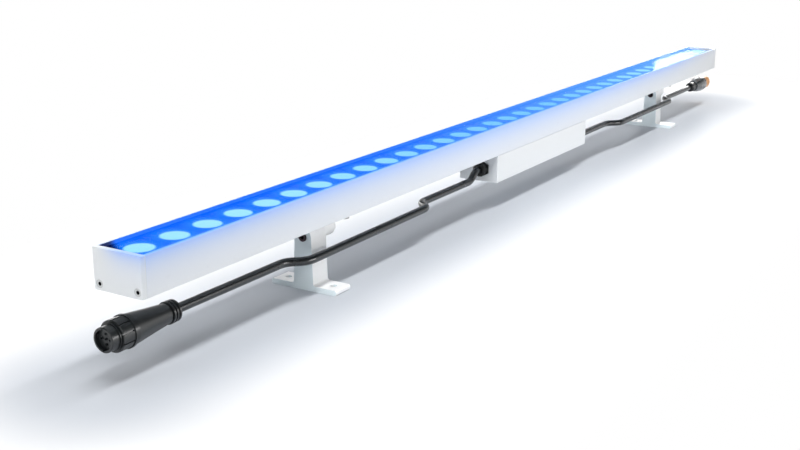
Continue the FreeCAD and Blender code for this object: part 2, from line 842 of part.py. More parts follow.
def makeDriver():
    length = 2 * (casePostX - s.casePostRadius - s.driverBoardEndGap)
    width = 2 * (halfWidth - s.caseWall - s.driverBoardSideGap)
    blank = block("driverBlank", (-length / 2, -width / 2, driverBoardBottom), (length, width, s.boardThick))
    holes = []
    for index, (x, y) in enumerate(standoffCentres()):
        holes.append(rod(f"driverHole{index}", (x, y, driverBoardBottom - overcut),
                         s.driverScrewRadius + s.screwClearance, s.boardThick + 2 * overcut))
    keep(cut("driver_board", blank, holes), "driver_board")
    template = screw("driverScrew", s.driverScrewRadius, s.driverScrewLength,
                     s.driverScrewHeadRadius, s.driverScrewHeadHeight)
    setAt("driver_board_screws", template, [at(x, y, driverBoardTop) for x, y in standoffCentres()])

    long = s.transformerLength
    wide = s.transformerWidth
    inset = s.windingInset
    low = (s.transformerX - long / 2, -wide / 2, driverBoardTop)
    coreBlock = block("coreBlock", low, (long, wide, s.transformerHeight))
    low = (low[0] + inset, low[1] + inset, driverBoardTop + s.transformerHeight)
    windings = block("windings", low, (long - 2 * inset, wide - 2 * inset, s.windingHeight))
    keep(fuse("driver_transformer", [coreBlock, windings]), "driver_transformer")

    can = rod("canPattern", (0.0, 0.0, 0.0), s.capacitorRadius, s.capacitorHeight)
    cans = [(2.0, -8.0), (14.0, -8.0), (26.0, 8.0)]
    setAt("driver_capacitors", can, [at(x, y, driverBoardTop) for x, y in cans])

    ring = tube("driver_choke", (s.chokeX, 0.0, driverBoardTop), s.chokeInner, s.chokeOuter, s.chokeHeight)
    keep(ring, "driver_choke")

    # low corner, length and width of each chip on the driver's board
    chipSpots = [(36.0, -7.0, 9.0, 9.0), (47.0, -6.0, 5.0, 6.0), (-4.0, 8.0, 10.0, 6.0)]
    chips = []
    for index, (x, y, chipLong, chipWide) in enumerate(chipSpots):
        span = (chipLong, chipWide, s.circuitChipThick)
        chips.append(block(f"driverChip{index}", (x, y, driverBoardTop), span))
    chipGroup = document.addObject("Part::Compound", "driver_chips")
    chipGroup.Links = chips
    keep(chipGroup, "driver_chips")

    # the end terminals take the leads' cores, the middle one feeds the light row
    span = (s.terminalLength, s.terminalWidth, s.glandHeight + 3 * s.coreRadius - driverBoardTop)
    face = glandMouth - s.tailLength - s.coreBared
    low = s.leadY - s.terminalWidth / 2
    feedSpan = (s.terminalLength, s.feedTerminalWidth, s.feedTerminalHeight)
    feedLow = (feedX - s.terminalLength / 2, s.feedY - s.feedTerminalWidth / 2, driverBoardTop)
    terminals = [
        block("terminalNear", (-face, low, driverBoardTop), span),
        block("terminalFar", (face - s.terminalLength, low, driverBoardTop), span),
        block("terminalFeed", feedLow, feedSpan),
    ]
    terminalGroup = document.addObject("Part::Compound", "driver_terminals")
    terminalGroup.Links = terminals
    keep(terminalGroup, "driver_terminals")

    wireLow = driverBoardTop + s.feedTerminalHeight
    wire = rod("wirePattern", (0.0, 0.0, wireLow), s.feedWireRadius, boardTop + s.feedWireSpare - wireLow)
    setAt("feed_wires", wire, [at(feedX + step * s.feedWireSpacing, s.feedY, 0) for step in (-1, 0, 1)])

    flange = s.grommetFlangeThick
    neck = rod("grommetNeck", (feedX, s.feedY, underside - flange), s.grommetNeck,
               s.profileFloor + 2 * flange)
    below = rod("grommetBelow", (feedX, s.feedY, underside - flange), s.grommetFlange, flange)
    above = rod("grommetAbove", (feedX, s.feedY, chamberFloor), s.grommetFlange, flange)
    bore = rod("grommetBore", (feedX, s.feedY, underside - flange - overcut), s.grommetBore,
               s.profileFloor + 2 * (flange + overcut))
    keep(cut("feed_grommet", fuse("grommetBody", [neck, below, above]), [bore]), "feed_grommet")


# Glands and leads


def makeGlands():
    # each pattern points along +X, with x = 0 on the outer face of the case wall
    bore = s.leadRadius + s.closeGap
    front = s.glandHexThick + s.glandDomeLength
    lip = front - s.glandDomeWall
    cavity = s.glandDomeRadius - s.glandDomeWall
    sealStart = lip - s.glandSealLength
    inside = -s.caseWall - s.glandThreadInside
    neckLength = sealStart - s.seatGap
    hexagon = hexRod("glandHex", (0, 0, 0), s.glandFlats, s.glandHexThick, "x")
    thread = rod("glandThread", (inside, 0, 0), s.glandThreadRadius, s.glandHexThick - inside, "x")
    neck = rod("glandNeck", (0, 0, 0), cavity - s.closeGap, neckLength, "x")
    hollow = rod("glandHollow", (inside - overcut, 0, 0), bore, neckLength - inside + 2 * overcut, "x")
    gland = cut("glandPattern", fuse("glandBlank", [hexagon, thread, neck]), [hollow])

    dome = newBody("domePattern")
    turn(dome, [
        (s.glandHexThick, cavity),
        (s.glandHexThick, s.glandDomeRadius),
        (front - s.glandDomeChamfer, s.glandDomeRadius),
        (front, s.glandDomeRadius - s.glandDomeChamfer),
        (front, bore),
        (lip, bore),
        (lip, cavity),
    ])
    seal = tube("sealPattern", (sealStart, 0, 0), s.leadRadius + s.threadClearance,
                cavity - s.closeGap, s.glandSealLength, "x")
    lockLow = -s.caseWall - s.lockNutThick
    lockBody = hexRod("lockBody", (lockLow, 0, 0), s.lockNutFlats, s.lockNutThick, "x")
    lockBore = rod("lockBore", (lockLow - overcut, 0, 0), s.glandThreadRadius + s.threadClearance,
                   s.lockNutThick + 2 * overcut, "x")
    lock = cut("lockPattern", lockBody, [lockBore])

    places = {
        "near": at(-caseHalf, s.leadY, s.glandHeight, FreeCAD.Rotation(Vector(0, 0, 1), 180)),
        "far": at(caseHalf, s.leadY, s.glandHeight),
    }
    for word, spot in places.items():
        setAt("gland_body_" + word, gland, [spot])
        setAt("gland_dome_" + word, dome, [spot])
    setAt("gland_seals", seal, list(places.values()))
    setAt("gland_lock_nuts", lock, list(places.values()))

    # the end of each lead inside its gland, with three bared cores to the terminal
    tailParts = [rod("tailJacket", (0, 0, 0), s.leadRadius, s.tailLength, "x")]
    for index in (-1, 0, 1):
        start = (s.tailLength / 2, index * s.coreSpacing, 0)
        tailParts.append(rod(f"tailCore{index + 1}", start, s.coreRadius,
                             s.tailLength / 2 + s.coreBared, "x"))
    tail = fuse("tailPattern", tailParts)
    turned = FreeCAD.Rotation(Vector(0, 0, 1), 180)
    setAt("lead_tails", tail, [
        at(-glandMouth, s.leadY, s.glandHeight),
        at(glandMouth, s.leadY, s.glandHeight, turned),
    ])


def tubePath(points):
    # straight runs joined by tangent arcs, each as large as its two runs allow
    edges = []
    radii = []
    start = points[0]
    for before, corner, after in zip(points, points[1:], points[2:]):
        inward = (before - corner).normalize()
        outward = (after - corner).normalize()
        shorter = min((before - corner).Length, (after - corner).Length)
        turnAngle = math.pi - inward.getAngle(outward)
        reach = 0.45 * shorter
        radii.append(reach / math.tan(turnAngle / 2))
        first = corner + inward * reach
        last = corner + outward * reach
        toCentre = (inward + outward).normalize()
        centre = corner + toCentre * math.hypot(reach, radii[-1])
        middle = centre - toCentre * radii[-1]
        edges.append(Part.LineSegment(start, first).toShape())
        edges.append(Part.Arc(first, middle, last).toShape())
        start = last
    edges.append(Part.LineSegment(start, points[-1]).toShape())
    return Part.Wire(edges), radii


def makeLead(label, points):
    path, radii = tubePath([Vector(*[float(value) for value in point]) for point in points])
    along = path.Edges[0].tangentAt(path.Edges[0].FirstParameter)
    section = Part.Wire([Part.Circle(path.Edges[0].valueAt(0), along, float(s.leadRadius)).toShape()])
    tube = path.makePipeShell([section], True, False)
    made = document.addObject("Part::Feature", label)
    made.Shape = tube
    keep(made, label)
    ideal = math.pi * s.leadRadius ** 2 * path.Length
    print(label, "length", round(path.Length, 1), "arc radii", [round(radius, 1) for radius in radii],
          "volume share", round(tube.Volume / ideal, 4))


# Stations of the two leads' routes, along X from the middle of the light.
nearLeadEnd = -559.0
farLeadEnd = 544.0
nearRoute = [
    (-glandMouth, s.leadY, s.glandHeight),
    (-127.0, s.leadY, s.glandHeight),
    (-135.0, s.leadY, s.leadHeight),
    (-232.6, s.leadY, s.leadHeight),
    (-242.0, s.leadY - s.leadJog, s.leadHeight),
    (-424.0, s.leadY - s.leadJog, nearLeadHeight),
    (-434.0, s.leadY, nearLeadHeight),
    (nearLeadEnd, s.leadY, nearLeadHeight),
]
farRoute = [
    (glandMouth, s.leadY, s.glandHeight),
    (127.0, s.leadY, s.glandHeight),
    (135.0, s.leadY, s.leadHeight),
    (219.0, s.leadY, s.leadHeight),
    (229.0, s.leadY - s.leadJog, s.leadHeight),
    (418.0, s.leadY - s.leadJog, s.leadHeight),
    (429.0, s.leadY, s.leadHeight),
    (farLeadEnd, s.leadY, s.leadHeight),
]


# Connectors


def contactCentres(count, circle):
    spots = []
    for index in range(count - 1):
        angle = 2 * math.pi * index / (count - 1)
        spots.append((circle * math.cos(angle), circle * math.sin(angle)))
    spots.append((0.0, 0.0))
    return spots


def polar(body, feature, count):
    # repeats a cut round the body's X axis
    pattern = body.newObject("PartDesign::PolarPattern", body.Name + "Polar")
    pattern.Originals = [feature]
    pattern.Axis = (originPart(body, "X_Axis"), [""])
    pattern.Angle = 360.0
    bind(pattern, Occurrences=count)
    body.Tip = pattern


def groove(body, low, high, floor, width):
    # a slot along the top of a turned body, from its floor radius outwards
    sketch = sketchOn(body, "XZ_Plane")
    top = floor + 3 * overcut
    outline(sketch, [(low, floor), (high, floor), (high, top), (low, top)])
    feature = pocket(body, sketch, width, True)
    feature.Midplane = True
    return feature


def makeSocket():
    # near connector, pattern along +X with x = 0 where the lead enters
    spot = at(nearLeadEnd, s.leadY, nearLeadHeight, FreeCAD.Rotation(Vector(0, 0, 1), 180))
    zero = 0.0 * s.leadRadius
    shellEnd = s.socketBodyLength + s.socketShellLength
    mouth = shellEnd - s.socketMouthDepth
    insertBack = mouth - s.insertThick
    nutStart = s.socketBodyLength + s.spinGap
    nutEnd = nutStart + s.socketNutLength
    stop = nutEnd + s.spinGap
    shell = newBody("socketShellPattern")
    points = [(zero, zero), (zero, s.socketGrooveRadius)]
    step = s.socketRibLength / s.socketRibCount
    for index in range(int(s.socketRibCount)):
        start = index * step + s.socketRibSlope
        crest = s.socketRibRadius + index * s.socketRibGrowth
        end = (index + s.socketRibShare) * step
        points += [(start, crest), (end, crest), (end + s.socketRibSlope, s.socketGrooveRadius)]
        points.append(((index + 1) * step, s.socketGrooveRadius))
    points += [
        (s.socketRibLength + s.rimChamfer, s.socketBodyRadius),
        (s.socketWaist, s.socketWaistRadius),
        (s.socketBodyLength - s.socketCollarLength, s.socketCollarRadius),
        (s.socketBodyLength, s.socketCollarRadius),
        (s.socketBodyLength, s.socketShellRadius),
        (stop, s.socketShellRadius),
        (stop, s.socketStopRadius),
        (stop + s.socketStopThick, s.socketStopRadius),
        (stop + s.socketStopThick, s.socketShellRadius),
        (shellEnd - s.rimChamfer, s.socketShellRadius),
        (shellEnd, s.socketShellRadius - s.rimChamfer),
        (shellEnd, s.socketShellBore),
        (insertBack, s.socketShellBore),
        (insertBack, zero),
    ]
    turn(shell, points)
    keyways = sketchOn(shell, "YZ_Plane", shellEnd)
    half = s.socketKeyWidth / 2
    for low in (s.socketShellBore - s.socketKeyDepth, -s.socketShellBore - s.socketKeyDepth):
        high = low + 2 * s.socketKeyDepth
        outline(keyways, [(-half, low), (half, low), (half, high), (-half, high)])
    pocket(shell, keyways, s.socketMouthDepth, False)
    setAt("socket_body", shell, [spot])

    centres = contactCentres(int(s.contactCount), s.contactCircle)
    disc = rod("insertDisc", (insertBack, 0, 0), s.socketShellBore - s.closeGap, s.insertThick, "x")
    wells = []
    sleeves = []
    for index, (y, z) in enumerate(centres):
        wells.append(rod(f"insertWell{index}", (insertBack - overcut, y, z),
                         s.contactRadius + s.threadClearance, s.insertThick + 2 * overcut, "x"))
        sleeves.append(tube(f"contact{index}", (insertBack, y, z), s.contactRadius - s.contactWall,
                            s.contactRadius, s.insertThick + s.contactStandOut, "x"))
    setAt("socket_insert", cut("insertPattern", disc, wells), [spot])
    group = document.addObject("Part::Compound", "contactPattern")
    group.Links = sleeves
    setAt("socket_contacts", group, [spot])

    ring = newBody("socketNutPattern")
    bore = s.socketShellRadius + s.spinGap
    flangeEnd = nutStart + s.socketNutFlangeThick
    turn(ring, [
        (nutStart, bore),
        (nutStart, s.socketNutFlange),
        (flangeEnd, s.socketNutFlange),
        (flangeEnd, s.socketNutRadius),
        (nutEnd - s.rimChamfer, s.socketNutRadius),
        (nutEnd, s.socketNutRadius - s.rimChamfer),
        (nutEnd, bore),
    ])
    slit = groove(ring, flangeEnd + s.socketNutSlitInset, nutEnd + overcut,
                  s.socketNutRadius - s.socketNutSlitDepth, s.socketNutSlit)
    polar(ring, slit, s.socketNutSlits)
    setAt("socket_nut", ring, [spot])


def makePlug():
    # far connector, pattern along +X with x = 0 where the lead enters
    spot = at(farLeadEnd, s.leadY, s.leadHeight)
    zero = 0.0 * s.leadRadius
    nutEnd = s.plugNutLength
    coreEnd = nutEnd + s.plugCoreLength
    shoulder = nutEnd + s.plugBellBackWall + 2 * s.spinGap
    body = newBody("plugBodyPattern")
    turn(body, [
        (zero, zero),
        (zero, s.plugNeckRadius),
        (s.plugNutRadius - s.plugNeckRadius, s.plugNutRadius),
        (nutEnd, s.plugNutRadius),
        (nutEnd, s.plugNeckRadius),
        (shoulder, s.plugNeckRadius),
        (shoulder, s.plugCoreRadius),
        (coreEnd, s.plugCoreRadius),
        (coreEnd, zero),
    ])
    flute = groove(body, s.plugNutGrooveInset, nutEnd - s.plugNutGrooveInset,
                   s.plugNutRadius - s.plugNutGrooveDepth, s.plugNutGrooveWidth)
    polar(body, flute, s.plugNutGrooves)
    setAt("plug_body", body, [spot])

    bell = newBody("plugBellPattern")
    bellStart = nutEnd + s.spinGap
    bellEnd = bellStart + s.plugBellLength
    backBore = s.plugNeckRadius + s.spinGap
    bore = s.plugCoreRadius + s.spinGap
    hollowStart = bellStart + s.plugBellBackWall
    mouthStart = bellEnd - s.plugBellMouth
    mouthRadius = s.plugBellFront - s.plugBellWall
    turn(bell, [
        (bellStart, backBore),
        (bellStart, s.plugBellBack),
        (bellStart + s.plugBellLength * 0.45, mouthRadius + s.closeGap),
        (bellStart + s.plugBellLength * 0.75, s.plugBellFront),
        (bellEnd - s.rimChamfer, s.plugBellFront),
        (bellEnd, s.plugBellFront - s.rimChamfer),
        (bellEnd, mouthRadius),
        (mouthStart, mouthRadius),
        (mouthStart - s.plugBellTaper, bore),
        (hollowStart, bore),
        (hollowStart, backBore),
    ])
    recessEnd = bellEnd - s.plugBellRecessInset
    recess = groove(bell, recessEnd - s.plugBellRecessLength, recessEnd,
                    s.plugBellFront - s.plugBellRecessDepth, s.plugBellRecessWidth)
    polar(bell, recess, s.plugBellRecesses)
    setAt("plug_coupling", bell, [spot])

    # the orange sleeve sits on the core and stands out of the coupling
    sleeve = newBody("plugSleevePattern")
    sleeveEnd = s.plugSleeveBack + s.plugSleeveLength
    seat = s.plugCoreRadius + s.closeGap
    turn(sleeve, [
        (s.plugSleeveBack, seat),
        (s.plugSleeveBack, s.plugSleeveOuter),
        (sleeveEnd - s.rimChamfer, s.plugSleeveOuter),
        (sleeveEnd, s.plugSleeveOuter - s.rimChamfer),
        (sleeveEnd, s.plugSleeveInner),
        (coreEnd + s.seatGap, s.plugSleeveInner),
        (coreEnd + s.seatGap, seat),
    ])
    setAt("plug_sleeve", sleeve, [spot])

    pins = []
    for index, (y, z) in enumerate(contactCentres(int(s.contactCount), s.contactCircle)):
        pins.append(rod(f"plugPin{index}", (coreEnd, y, z), s.pinRadius, s.pinStandOut, "x"))
    group = document.addObject("Part::Compound", "plugPinPattern")
    group.Links = pins
    setAt("plug_pins", group, [spot])


# Brackets


def makeBracketBase(label, side):
    body = newBody(label)
    corner = s.footEdge
    zero = 0.0 * s.footEdge
    right = [
        (s.footHalf - corner, zero),
        (s.footHalf, corner),
        (s.footHalf, s.footThick - corner),
        (s.footHalf - corner, s.footThick),
        (s.legFootHalf, s.footThick),
        (s.legTopHalf, pivotHeight),
    ]
    left = [(-across, up) for across, up in reversed(right)]
    section = sketchOn(body, "YZ_Plane", -s.legLength / 2)
    outline(section, right + left)
    pad(body, section, s.legLength)
    head = sketchOn(body, "YZ_Plane", -s.legLength / 2)
    circles(head, [(zero, pivotHeight)], s.legTopHalf)
    pad(body, head, s.legLength)
    footHoles = sketchOn(body, "XY_Plane")
    half = s.footHoleSpacing / 2
    circles(footHoles, [(zero, -half), (zero, half)], s.footHoleRadius)
    pocket(body, footHoles, s.footThick, True)
    bore = sketchOn(body, "YZ_Plane", -s.legLength / 2)
    circles(bore, [(zero, pivotHeight)], s.pivotScrewRadius + s.pivotBoreGap)
    pocket(body, bore, None, True)
    sink = sketchOn(body, "YZ_Plane", -s.legLength / 2)
    circles(sink, [(zero, pivotHeight)], s.pivotHeadRadius + s.headClearance)
    pocket(body, sink, s.pivotHeadSink, True)

    def inCorner(line):
        middle = line.CenterOfMass
        return near(middle.z, s.footThick) and near(abs(middle.y), s.legFootHalf)

    roundEdges(body, s.footCorner, inCorner)
    place(body, side * bracketReach, 0.0, 0.0)
    keep(body, label)


def makeTiltArm(label, side):
    middle = side * bracketReach
    start = middle + armStart
    plate = block(label + "Plate", (start, -s.armPlateWidth / 2, underside - s.armPlateThick),
                  (s.armPlateLength, s.armPlateWidth, s.armPlateThick))
    cheek = block(label + "Cheek", (start, -s.armHalf, pivotHeight),
                  (s.armLength, 2 * s.armHalf, s.pivotDrop))
    eye = rod(label + "Eye", (start, 0.0, pivotHeight), s.armHalf, s.armLength, "x")
    tools = [rod(label + "Bore", (start - overcut, 0.0, pivotHeight), s.pivotScrewRadius + s.pivotBoreGap,
                 s.armLength + 2 * overcut, "x")]
    for index in (-1, 1):
        spot = (middle + armScrewX, index * s.armScrewSpacing / 2, underside - s.armPlateThick - overcut)
        tools.append(rod(f"{label}Hole{index + 1}", spot, s.armScrewRadius + s.screwClearance,
                         s.armPlateThick + 2 * overcut))
    keep(cut(label, fuse(label + "Blank", [plate, cheek, eye]), tools), label)


def makeBrackets():
    middles = (-bracketReach, bracketReach)
    for word, side in (("near", -1), ("far", 1)):
        makeBracketBase("bracket_base_" + word, side)
        makeTiltArm("tilt_arm_" + word, side)

    # distances along X from the middle of a leg
    headSeat = -s.legLength / 2 + s.pivotHeadSink
    washerSeat = s.legLength / 2
    nutSeat = armEnd + s.plainWasherThick
    alongX = FreeCAD.Rotation(Vector(0, 1, 0), 90)
    backX = FreeCAD.Rotation(Vector(0, 1, 0), -90)

    def alongPivot(label, template, seat, facing):
        setAt(label, template, [at(middle + seat, 0, pivotHeight, facing) for middle in middles])

    shank = nutSeat + s.pivotNutThick + s.pivotScrewSpare - headSeat
    pivot = screw("pivotScrew", s.pivotScrewRadius, shank, s.pivotHeadRadius, s.pivotHeadHeight)
    alongPivot("tilt_screws", pivot, headSeat, backX)
    bore = s.pivotScrewRadius + s.threadClearance
    alongPivot("tilt_nuts", nut("pivotNut", s.pivotNutFlats, s.pivotNutThick, bore), nutSeat, alongX)
    plain = tube("plainWasher", (0.0, 0.0, 0.0), bore, s.plainWasherRadius, s.plainWasherThick)
    alongPivot("plain_washers", plain, armEnd, alongX)
    friction = tube("frictionWasher", (0.0, 0.0, 0.0), bore, s.frictionWasherRadius, s.frictionWasherThick)
    alongPivot("friction_washers", friction, washerSeat, alongX)

    plateUnderside = underside - s.armPlateThick
    grip = s.armPlateThick + s.profileFloor + s.armNutThick + s.armScrewSpare
    fixing = screw("armScrew", s.armScrewRadius, grip, s.armScrewHeadRadius, s.armScrewHeadHeight)
    upside = FreeCAD.Rotation(Vector(1, 0, 0), 180)
    setAt("arm_screws", fixing, [at(x, y, plateUnderside, upside) for x, y in armScrewCentres()])
    armNut = nut("armNut", s.armNutFlats, s.armNutThick, s.armScrewRadius + s.threadClearance)
    setAt("arm_nuts", armNut, [at(x, y, chamberFloor) for x, y in armScrewCentres()])


makeProfile()
makeEnds()
makeCover()
makeLightRow()
makeCase()
makeDriver()
makeGlands()
makeLead("near_lead", nearRoute)
makeLead("far_lead", farRoute)
makeSocket()
makePlug()
makeBrackets()
document.recompute()

for thing in document.Objects:
    if "Invalid" in thing.State or "Error" in thing.State:
        raise RuntimeError(f"{thing.Label} did not build: {thing.State}")
for thing in pieces:
    if thing.Shape.isNull() or not thing.Shape.isValid():
        raise RuntimeError(f"{thing.Label} has no valid shape")

os.makedirs("parts", exist_ok=True)
for thing in pieces:
    thing.Shape.exportStep(f"parts/{thing.Label}.step")
print(len(pieces), "pieces written")
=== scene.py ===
import math

import bmesh
import bpy
from mathutils import Matrix, Vector


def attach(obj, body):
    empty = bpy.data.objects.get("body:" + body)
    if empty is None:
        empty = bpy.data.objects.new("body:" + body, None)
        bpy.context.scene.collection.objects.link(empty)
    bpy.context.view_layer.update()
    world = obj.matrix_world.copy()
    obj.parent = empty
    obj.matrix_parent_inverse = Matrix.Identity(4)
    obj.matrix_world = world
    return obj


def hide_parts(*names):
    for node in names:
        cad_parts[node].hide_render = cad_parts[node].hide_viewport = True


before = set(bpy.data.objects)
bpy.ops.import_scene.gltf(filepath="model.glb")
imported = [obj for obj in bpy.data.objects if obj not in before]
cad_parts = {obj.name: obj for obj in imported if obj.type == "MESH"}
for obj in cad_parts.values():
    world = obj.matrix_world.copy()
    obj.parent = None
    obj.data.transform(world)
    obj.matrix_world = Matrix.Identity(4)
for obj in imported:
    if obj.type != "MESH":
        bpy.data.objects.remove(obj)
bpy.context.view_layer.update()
print("frame loaded:", len(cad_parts), "nodes")


def newMaterial(name):
    material = bpy.data.materials.new(name)
    material.use_nodes = True
    tree = material.node_tree
    tree.nodes.clear()
    output = tree.nodes.new("ShaderNodeOutputMaterial")
    shader = tree.nodes.new("ShaderNodeBsdfPrincipled")
    tree.links.new(shader.outputs["BSDF"], output.inputs["Surface"])
    return material, tree, shader


def mathNode(tree, operation, first, second=None, third=None):
    node = tree.nodes.new("ShaderNodeMath")
    node.operation = operation
    for index, value in enumerate((first, second, third)):
        if value is None:
            continue
        if isinstance(value, (int, float)):
            node.inputs[index].default_value = value
        else:
            tree.links.new(value, node.inputs[index])
    return node.outputs[0]


def mixColour(tree, factor, first, second, blend="MIX"):
    node = tree.nodes.new("ShaderNodeMix")
    node.data_type = "RGBA"
    node.blend_type = blend
    for index, value in ((0, factor), (6, first), (7, second)):
        socket = node.inputs[index]
        if isinstance(value, (int, float)):
            socket.default_value = value
        elif isinstance(value, (tuple, list)):
            socket.default_value = (*value, 1.0)[:4]
        else:
            tree.links.new(value, socket)
    return node.outputs[2]


def mapRange(tree, value, fromLow, fromHigh, toLow, toHigh, kind="SMOOTHSTEP"):
    node = tree.nodes.new("ShaderNodeMapRange")
    node.interpolation_type = kind
    tree.links.new(value, node.inputs[0])
    for index, number in enumerate((fromLow, fromHigh, toLow, toHigh), start=1):
        if isinstance(number, (int, float)):
            node.inputs[index].default_value = number
        else:
            tree.links.new(number, node.inputs[index])
    return node.outputs[0]


def objectPlace(tree, stretch=None):
    place = tree.nodes.new("ShaderNodeTexCoord").outputs["Object"]
    if stretch is None:
        return place
    mapping = tree.nodes.new("ShaderNodeMapping")
    mapping.inputs["Scale"].default_value = stretch
    tree.links.new(place, mapping.inputs["Vector"])
    return mapping.outputs[0]


def splitPlace(tree, place):
    split = tree.nodes.new("ShaderNodeSeparateXYZ")
    tree.links.new(place, split.inputs[0])
    return split.outputs[0], split.outputs[1], split.outputs[2]


def noise(tree, place, scale, detail=2.0):
    node = tree.nodes.new("ShaderNodeTexNoise")
    node.inputs["Detail"].default_value = detail
    tree.links.new(place, node.inputs["Vector"])
    if isinstance(scale, (int, float)):
        node.inputs["Scale"].default_value = scale
    else:
        tree.links.new(scale, node.inputs["Scale"])
    return node.outputs[0]


def newGroup(name, inputs, outputs):
    group = bpy.data.node_groups.new(name, "ShaderNodeTree")
    for label, kind, value in inputs:
        socket = group.interface.new_socket(name=label, in_out="INPUT", socket_type=kind)
        if value is not None:
            socket.default_value = value
    for label, kind in outputs:
        group.interface.new_socket(name=label, in_out="OUTPUT", socket_type=kind)
    entry = group.nodes.new("NodeGroupInput")
    leave = group.nodes.new("NodeGroupOutput")
    return group, entry, leave


def useGroup(tree, group, **values):
    node = tree.nodes.new("ShaderNodeGroup")
    node.node_tree = group
    for key, value in values.items():
        socket = node.inputs[key.replace("_", " ")]
        if isinstance(value, (int, float)):
            socket.default_value = value
        elif isinstance(value, (tuple, list)):
            socket.default_value = (*value, 1.0)[:4]
        else:
            tree.links.new(value, socket)
    return node


def bump(tree, shader, height, strength, distance):
    node = tree.nodes.new("ShaderNodeBump")
    node.inputs["Strength"].default_value = strength
    node.inputs["Distance"].default_value = distance
    tree.links.new(height, node.inputs["Height"])
    tree.links.new(node.outputs[0], shader.inputs["Normal"])


skinOutputs = [("Colour", "NodeSocketColor"), ("Height", "NodeSocketFloat"),
               ("Roughness", "NodeSocketFloat")]

powder = {
    "driftScale": 7.0,
    "driftInRoughness": 0.16,
    "dustScale": 160.0,
    "dustRange": (0.62, 0.8),
    "dustMost": 0.10,
    "dustColour": (0.62, 0.62, 0.60),
}


def makePowderSkin():
    # orange-peel grain of a powder coat, slow drift of its tone, and dust that settles on it
    group, entry, leave = newGroup("powderSkin", [
        ("Colour", "NodeSocketColor", (0.8, 0.8, 0.8, 1.0)),
        ("Grain Size", "NodeSocketFloat", 1100.0),
        ("Drift", "NodeSocketFloat", 0.05),
        ("Roughness", "NodeSocketFloat", 0.42),
    ], skinOutputs)
    place = objectPlace(group)
    grain = noise(group, place, entry.outputs["Grain Size"], 2.0)
    drift = mathNode(group, "SUBTRACT", noise(group, place, powder["driftScale"], 3.0), 0.5)
    tone = mathNode(group, "MULTIPLY_ADD", drift, entry.outputs["Drift"], 1.0)
    dust = mapRange(group, noise(group, place, powder["dustScale"], 6.0), *powder["dustRange"],
                    0.0, powder["dustMost"])
    toned = mixColour(group, 1.0, entry.outputs["Colour"], tone, "MULTIPLY")
    group.links.new(mixColour(group, dust, toned, powder["dustColour"]), leave.inputs[0])
    group.links.new(grain, leave.inputs[1])
    rough = mathNode(group, "MULTIPLY_ADD", drift, powder["driftInRoughness"],
                     entry.outputs["Roughness"])
    group.links.new(mathNode(group, "ADD", rough, dust), leave.inputs[2])
    return group


moulding = {
    "flowStretch": (14.0, 60.0, 60.0),
    "flowRange": (0.4, 0.75),
    "flowTint": (0.003, 0.0035, 0.0035),
    "flowInRoughness": 0.12,
    "wear": 0.5,
    "grainHeight": 0.00005,
}


def makeMouldedSkin():
    # spark-erosion grain of a moulding with faint flow marks
    group, entry, leave = newGroup("mouldedSkin", [
        ("Colour", "NodeSocketColor", (0.02, 0.02, 0.02, 1.0)),
        ("Grain Size", "NodeSocketFloat", 1500.0),
        ("Roughness", "NodeSocketFloat", 0.45),
        ("Wear", "NodeSocketFloat", 0.4),
    ], skinOutputs)
    place = objectPlace(group)
    grain = noise(group, place, entry.outputs["Grain Size"], 3.0)
    streaks = noise(group, objectPlace(group, moulding["flowStretch"]), 1.0, 4.0)
    flow = mapRange(group, streaks, *moulding["flowRange"], 0.0, 1.0)
    share = mathNode(group, "MULTIPLY", flow, entry.outputs["Wear"])
    lighter = mixColour(group, 1.0, entry.outputs["Colour"], moulding["flowTint"], "ADD")
    group.links.new(mixColour(group, share, entry.outputs["Colour"], lighter), leave.inputs[0])
    group.links.new(grain, leave.inputs[1])
    rough = mathNode(group, "MULTIPLY_ADD", share, moulding["flowInRoughness"],
                     entry.outputs["Roughness"])
    group.links.new(rough, leave.inputs[2])
    return group


lightRow = {
    "pitch": 1.2 / 36,
    "halfLength": 0.6,
    "halfWidth": 0.0168,
    "cornerSlope": 1.6,
    "cornerRange": (0.013, 0.026),
}


def makeRowLight():
    # distance in plan from the nearest light of the row, and the two corners that stay dark
    group, entry, leave = newGroup("rowLight", [
        ("Pitch", "NodeSocketFloat", lightRow["pitch"]),
        ("Half Length", "NodeSocketFloat", lightRow["halfLength"]),
        ("Half Width", "NodeSocketFloat", lightRow["halfWidth"]),
    ], [("Distance", "NodeSocketFloat"), ("Corner", "NodeSocketFloat")])
    along, across = splitPlace(group, objectPlace(group))[:2]
    shifted = mathNode(group, "ADD", along, entry.outputs["Half Length"])
    wrapped = mathNode(group, "FLOORED_MODULO", shifted, entry.outputs["Pitch"])
    offset = mathNode(group, "MULTIPLY_ADD", entry.outputs["Pitch"], -0.5, wrapped)
    squares = mathNode(group, "MULTIPLY_ADD", across, across,
                       mathNode(group, "MULTIPLY", offset, offset))
    group.links.new(mathNode(group, "SQRT", squares), leave.inputs[0])
    fromEnd = mathNode(group, "SUBTRACT", entry.outputs["Half Length"],
                       mathNode(group, "ABSOLUTE", along))
    turned = mathNode(group, "MULTIPLY", across, mathNode(group, "SIGN", along))
    fromSide = mathNode(group, "ADD", turned, entry.outputs["Half Width"])
    reach = mathNode(group, "MULTIPLY_ADD", fromEnd, lightRow["cornerSlope"], fromSide)
    group.links.new(mapRange(group, reach, *lightRow["cornerRange"], 1.0, 0.0), leave.inputs[1])
    return group


powderSkin = makePowderSkin()
mouldedSkin = makeMouldedSkin()
rowLight = makeRowLight()

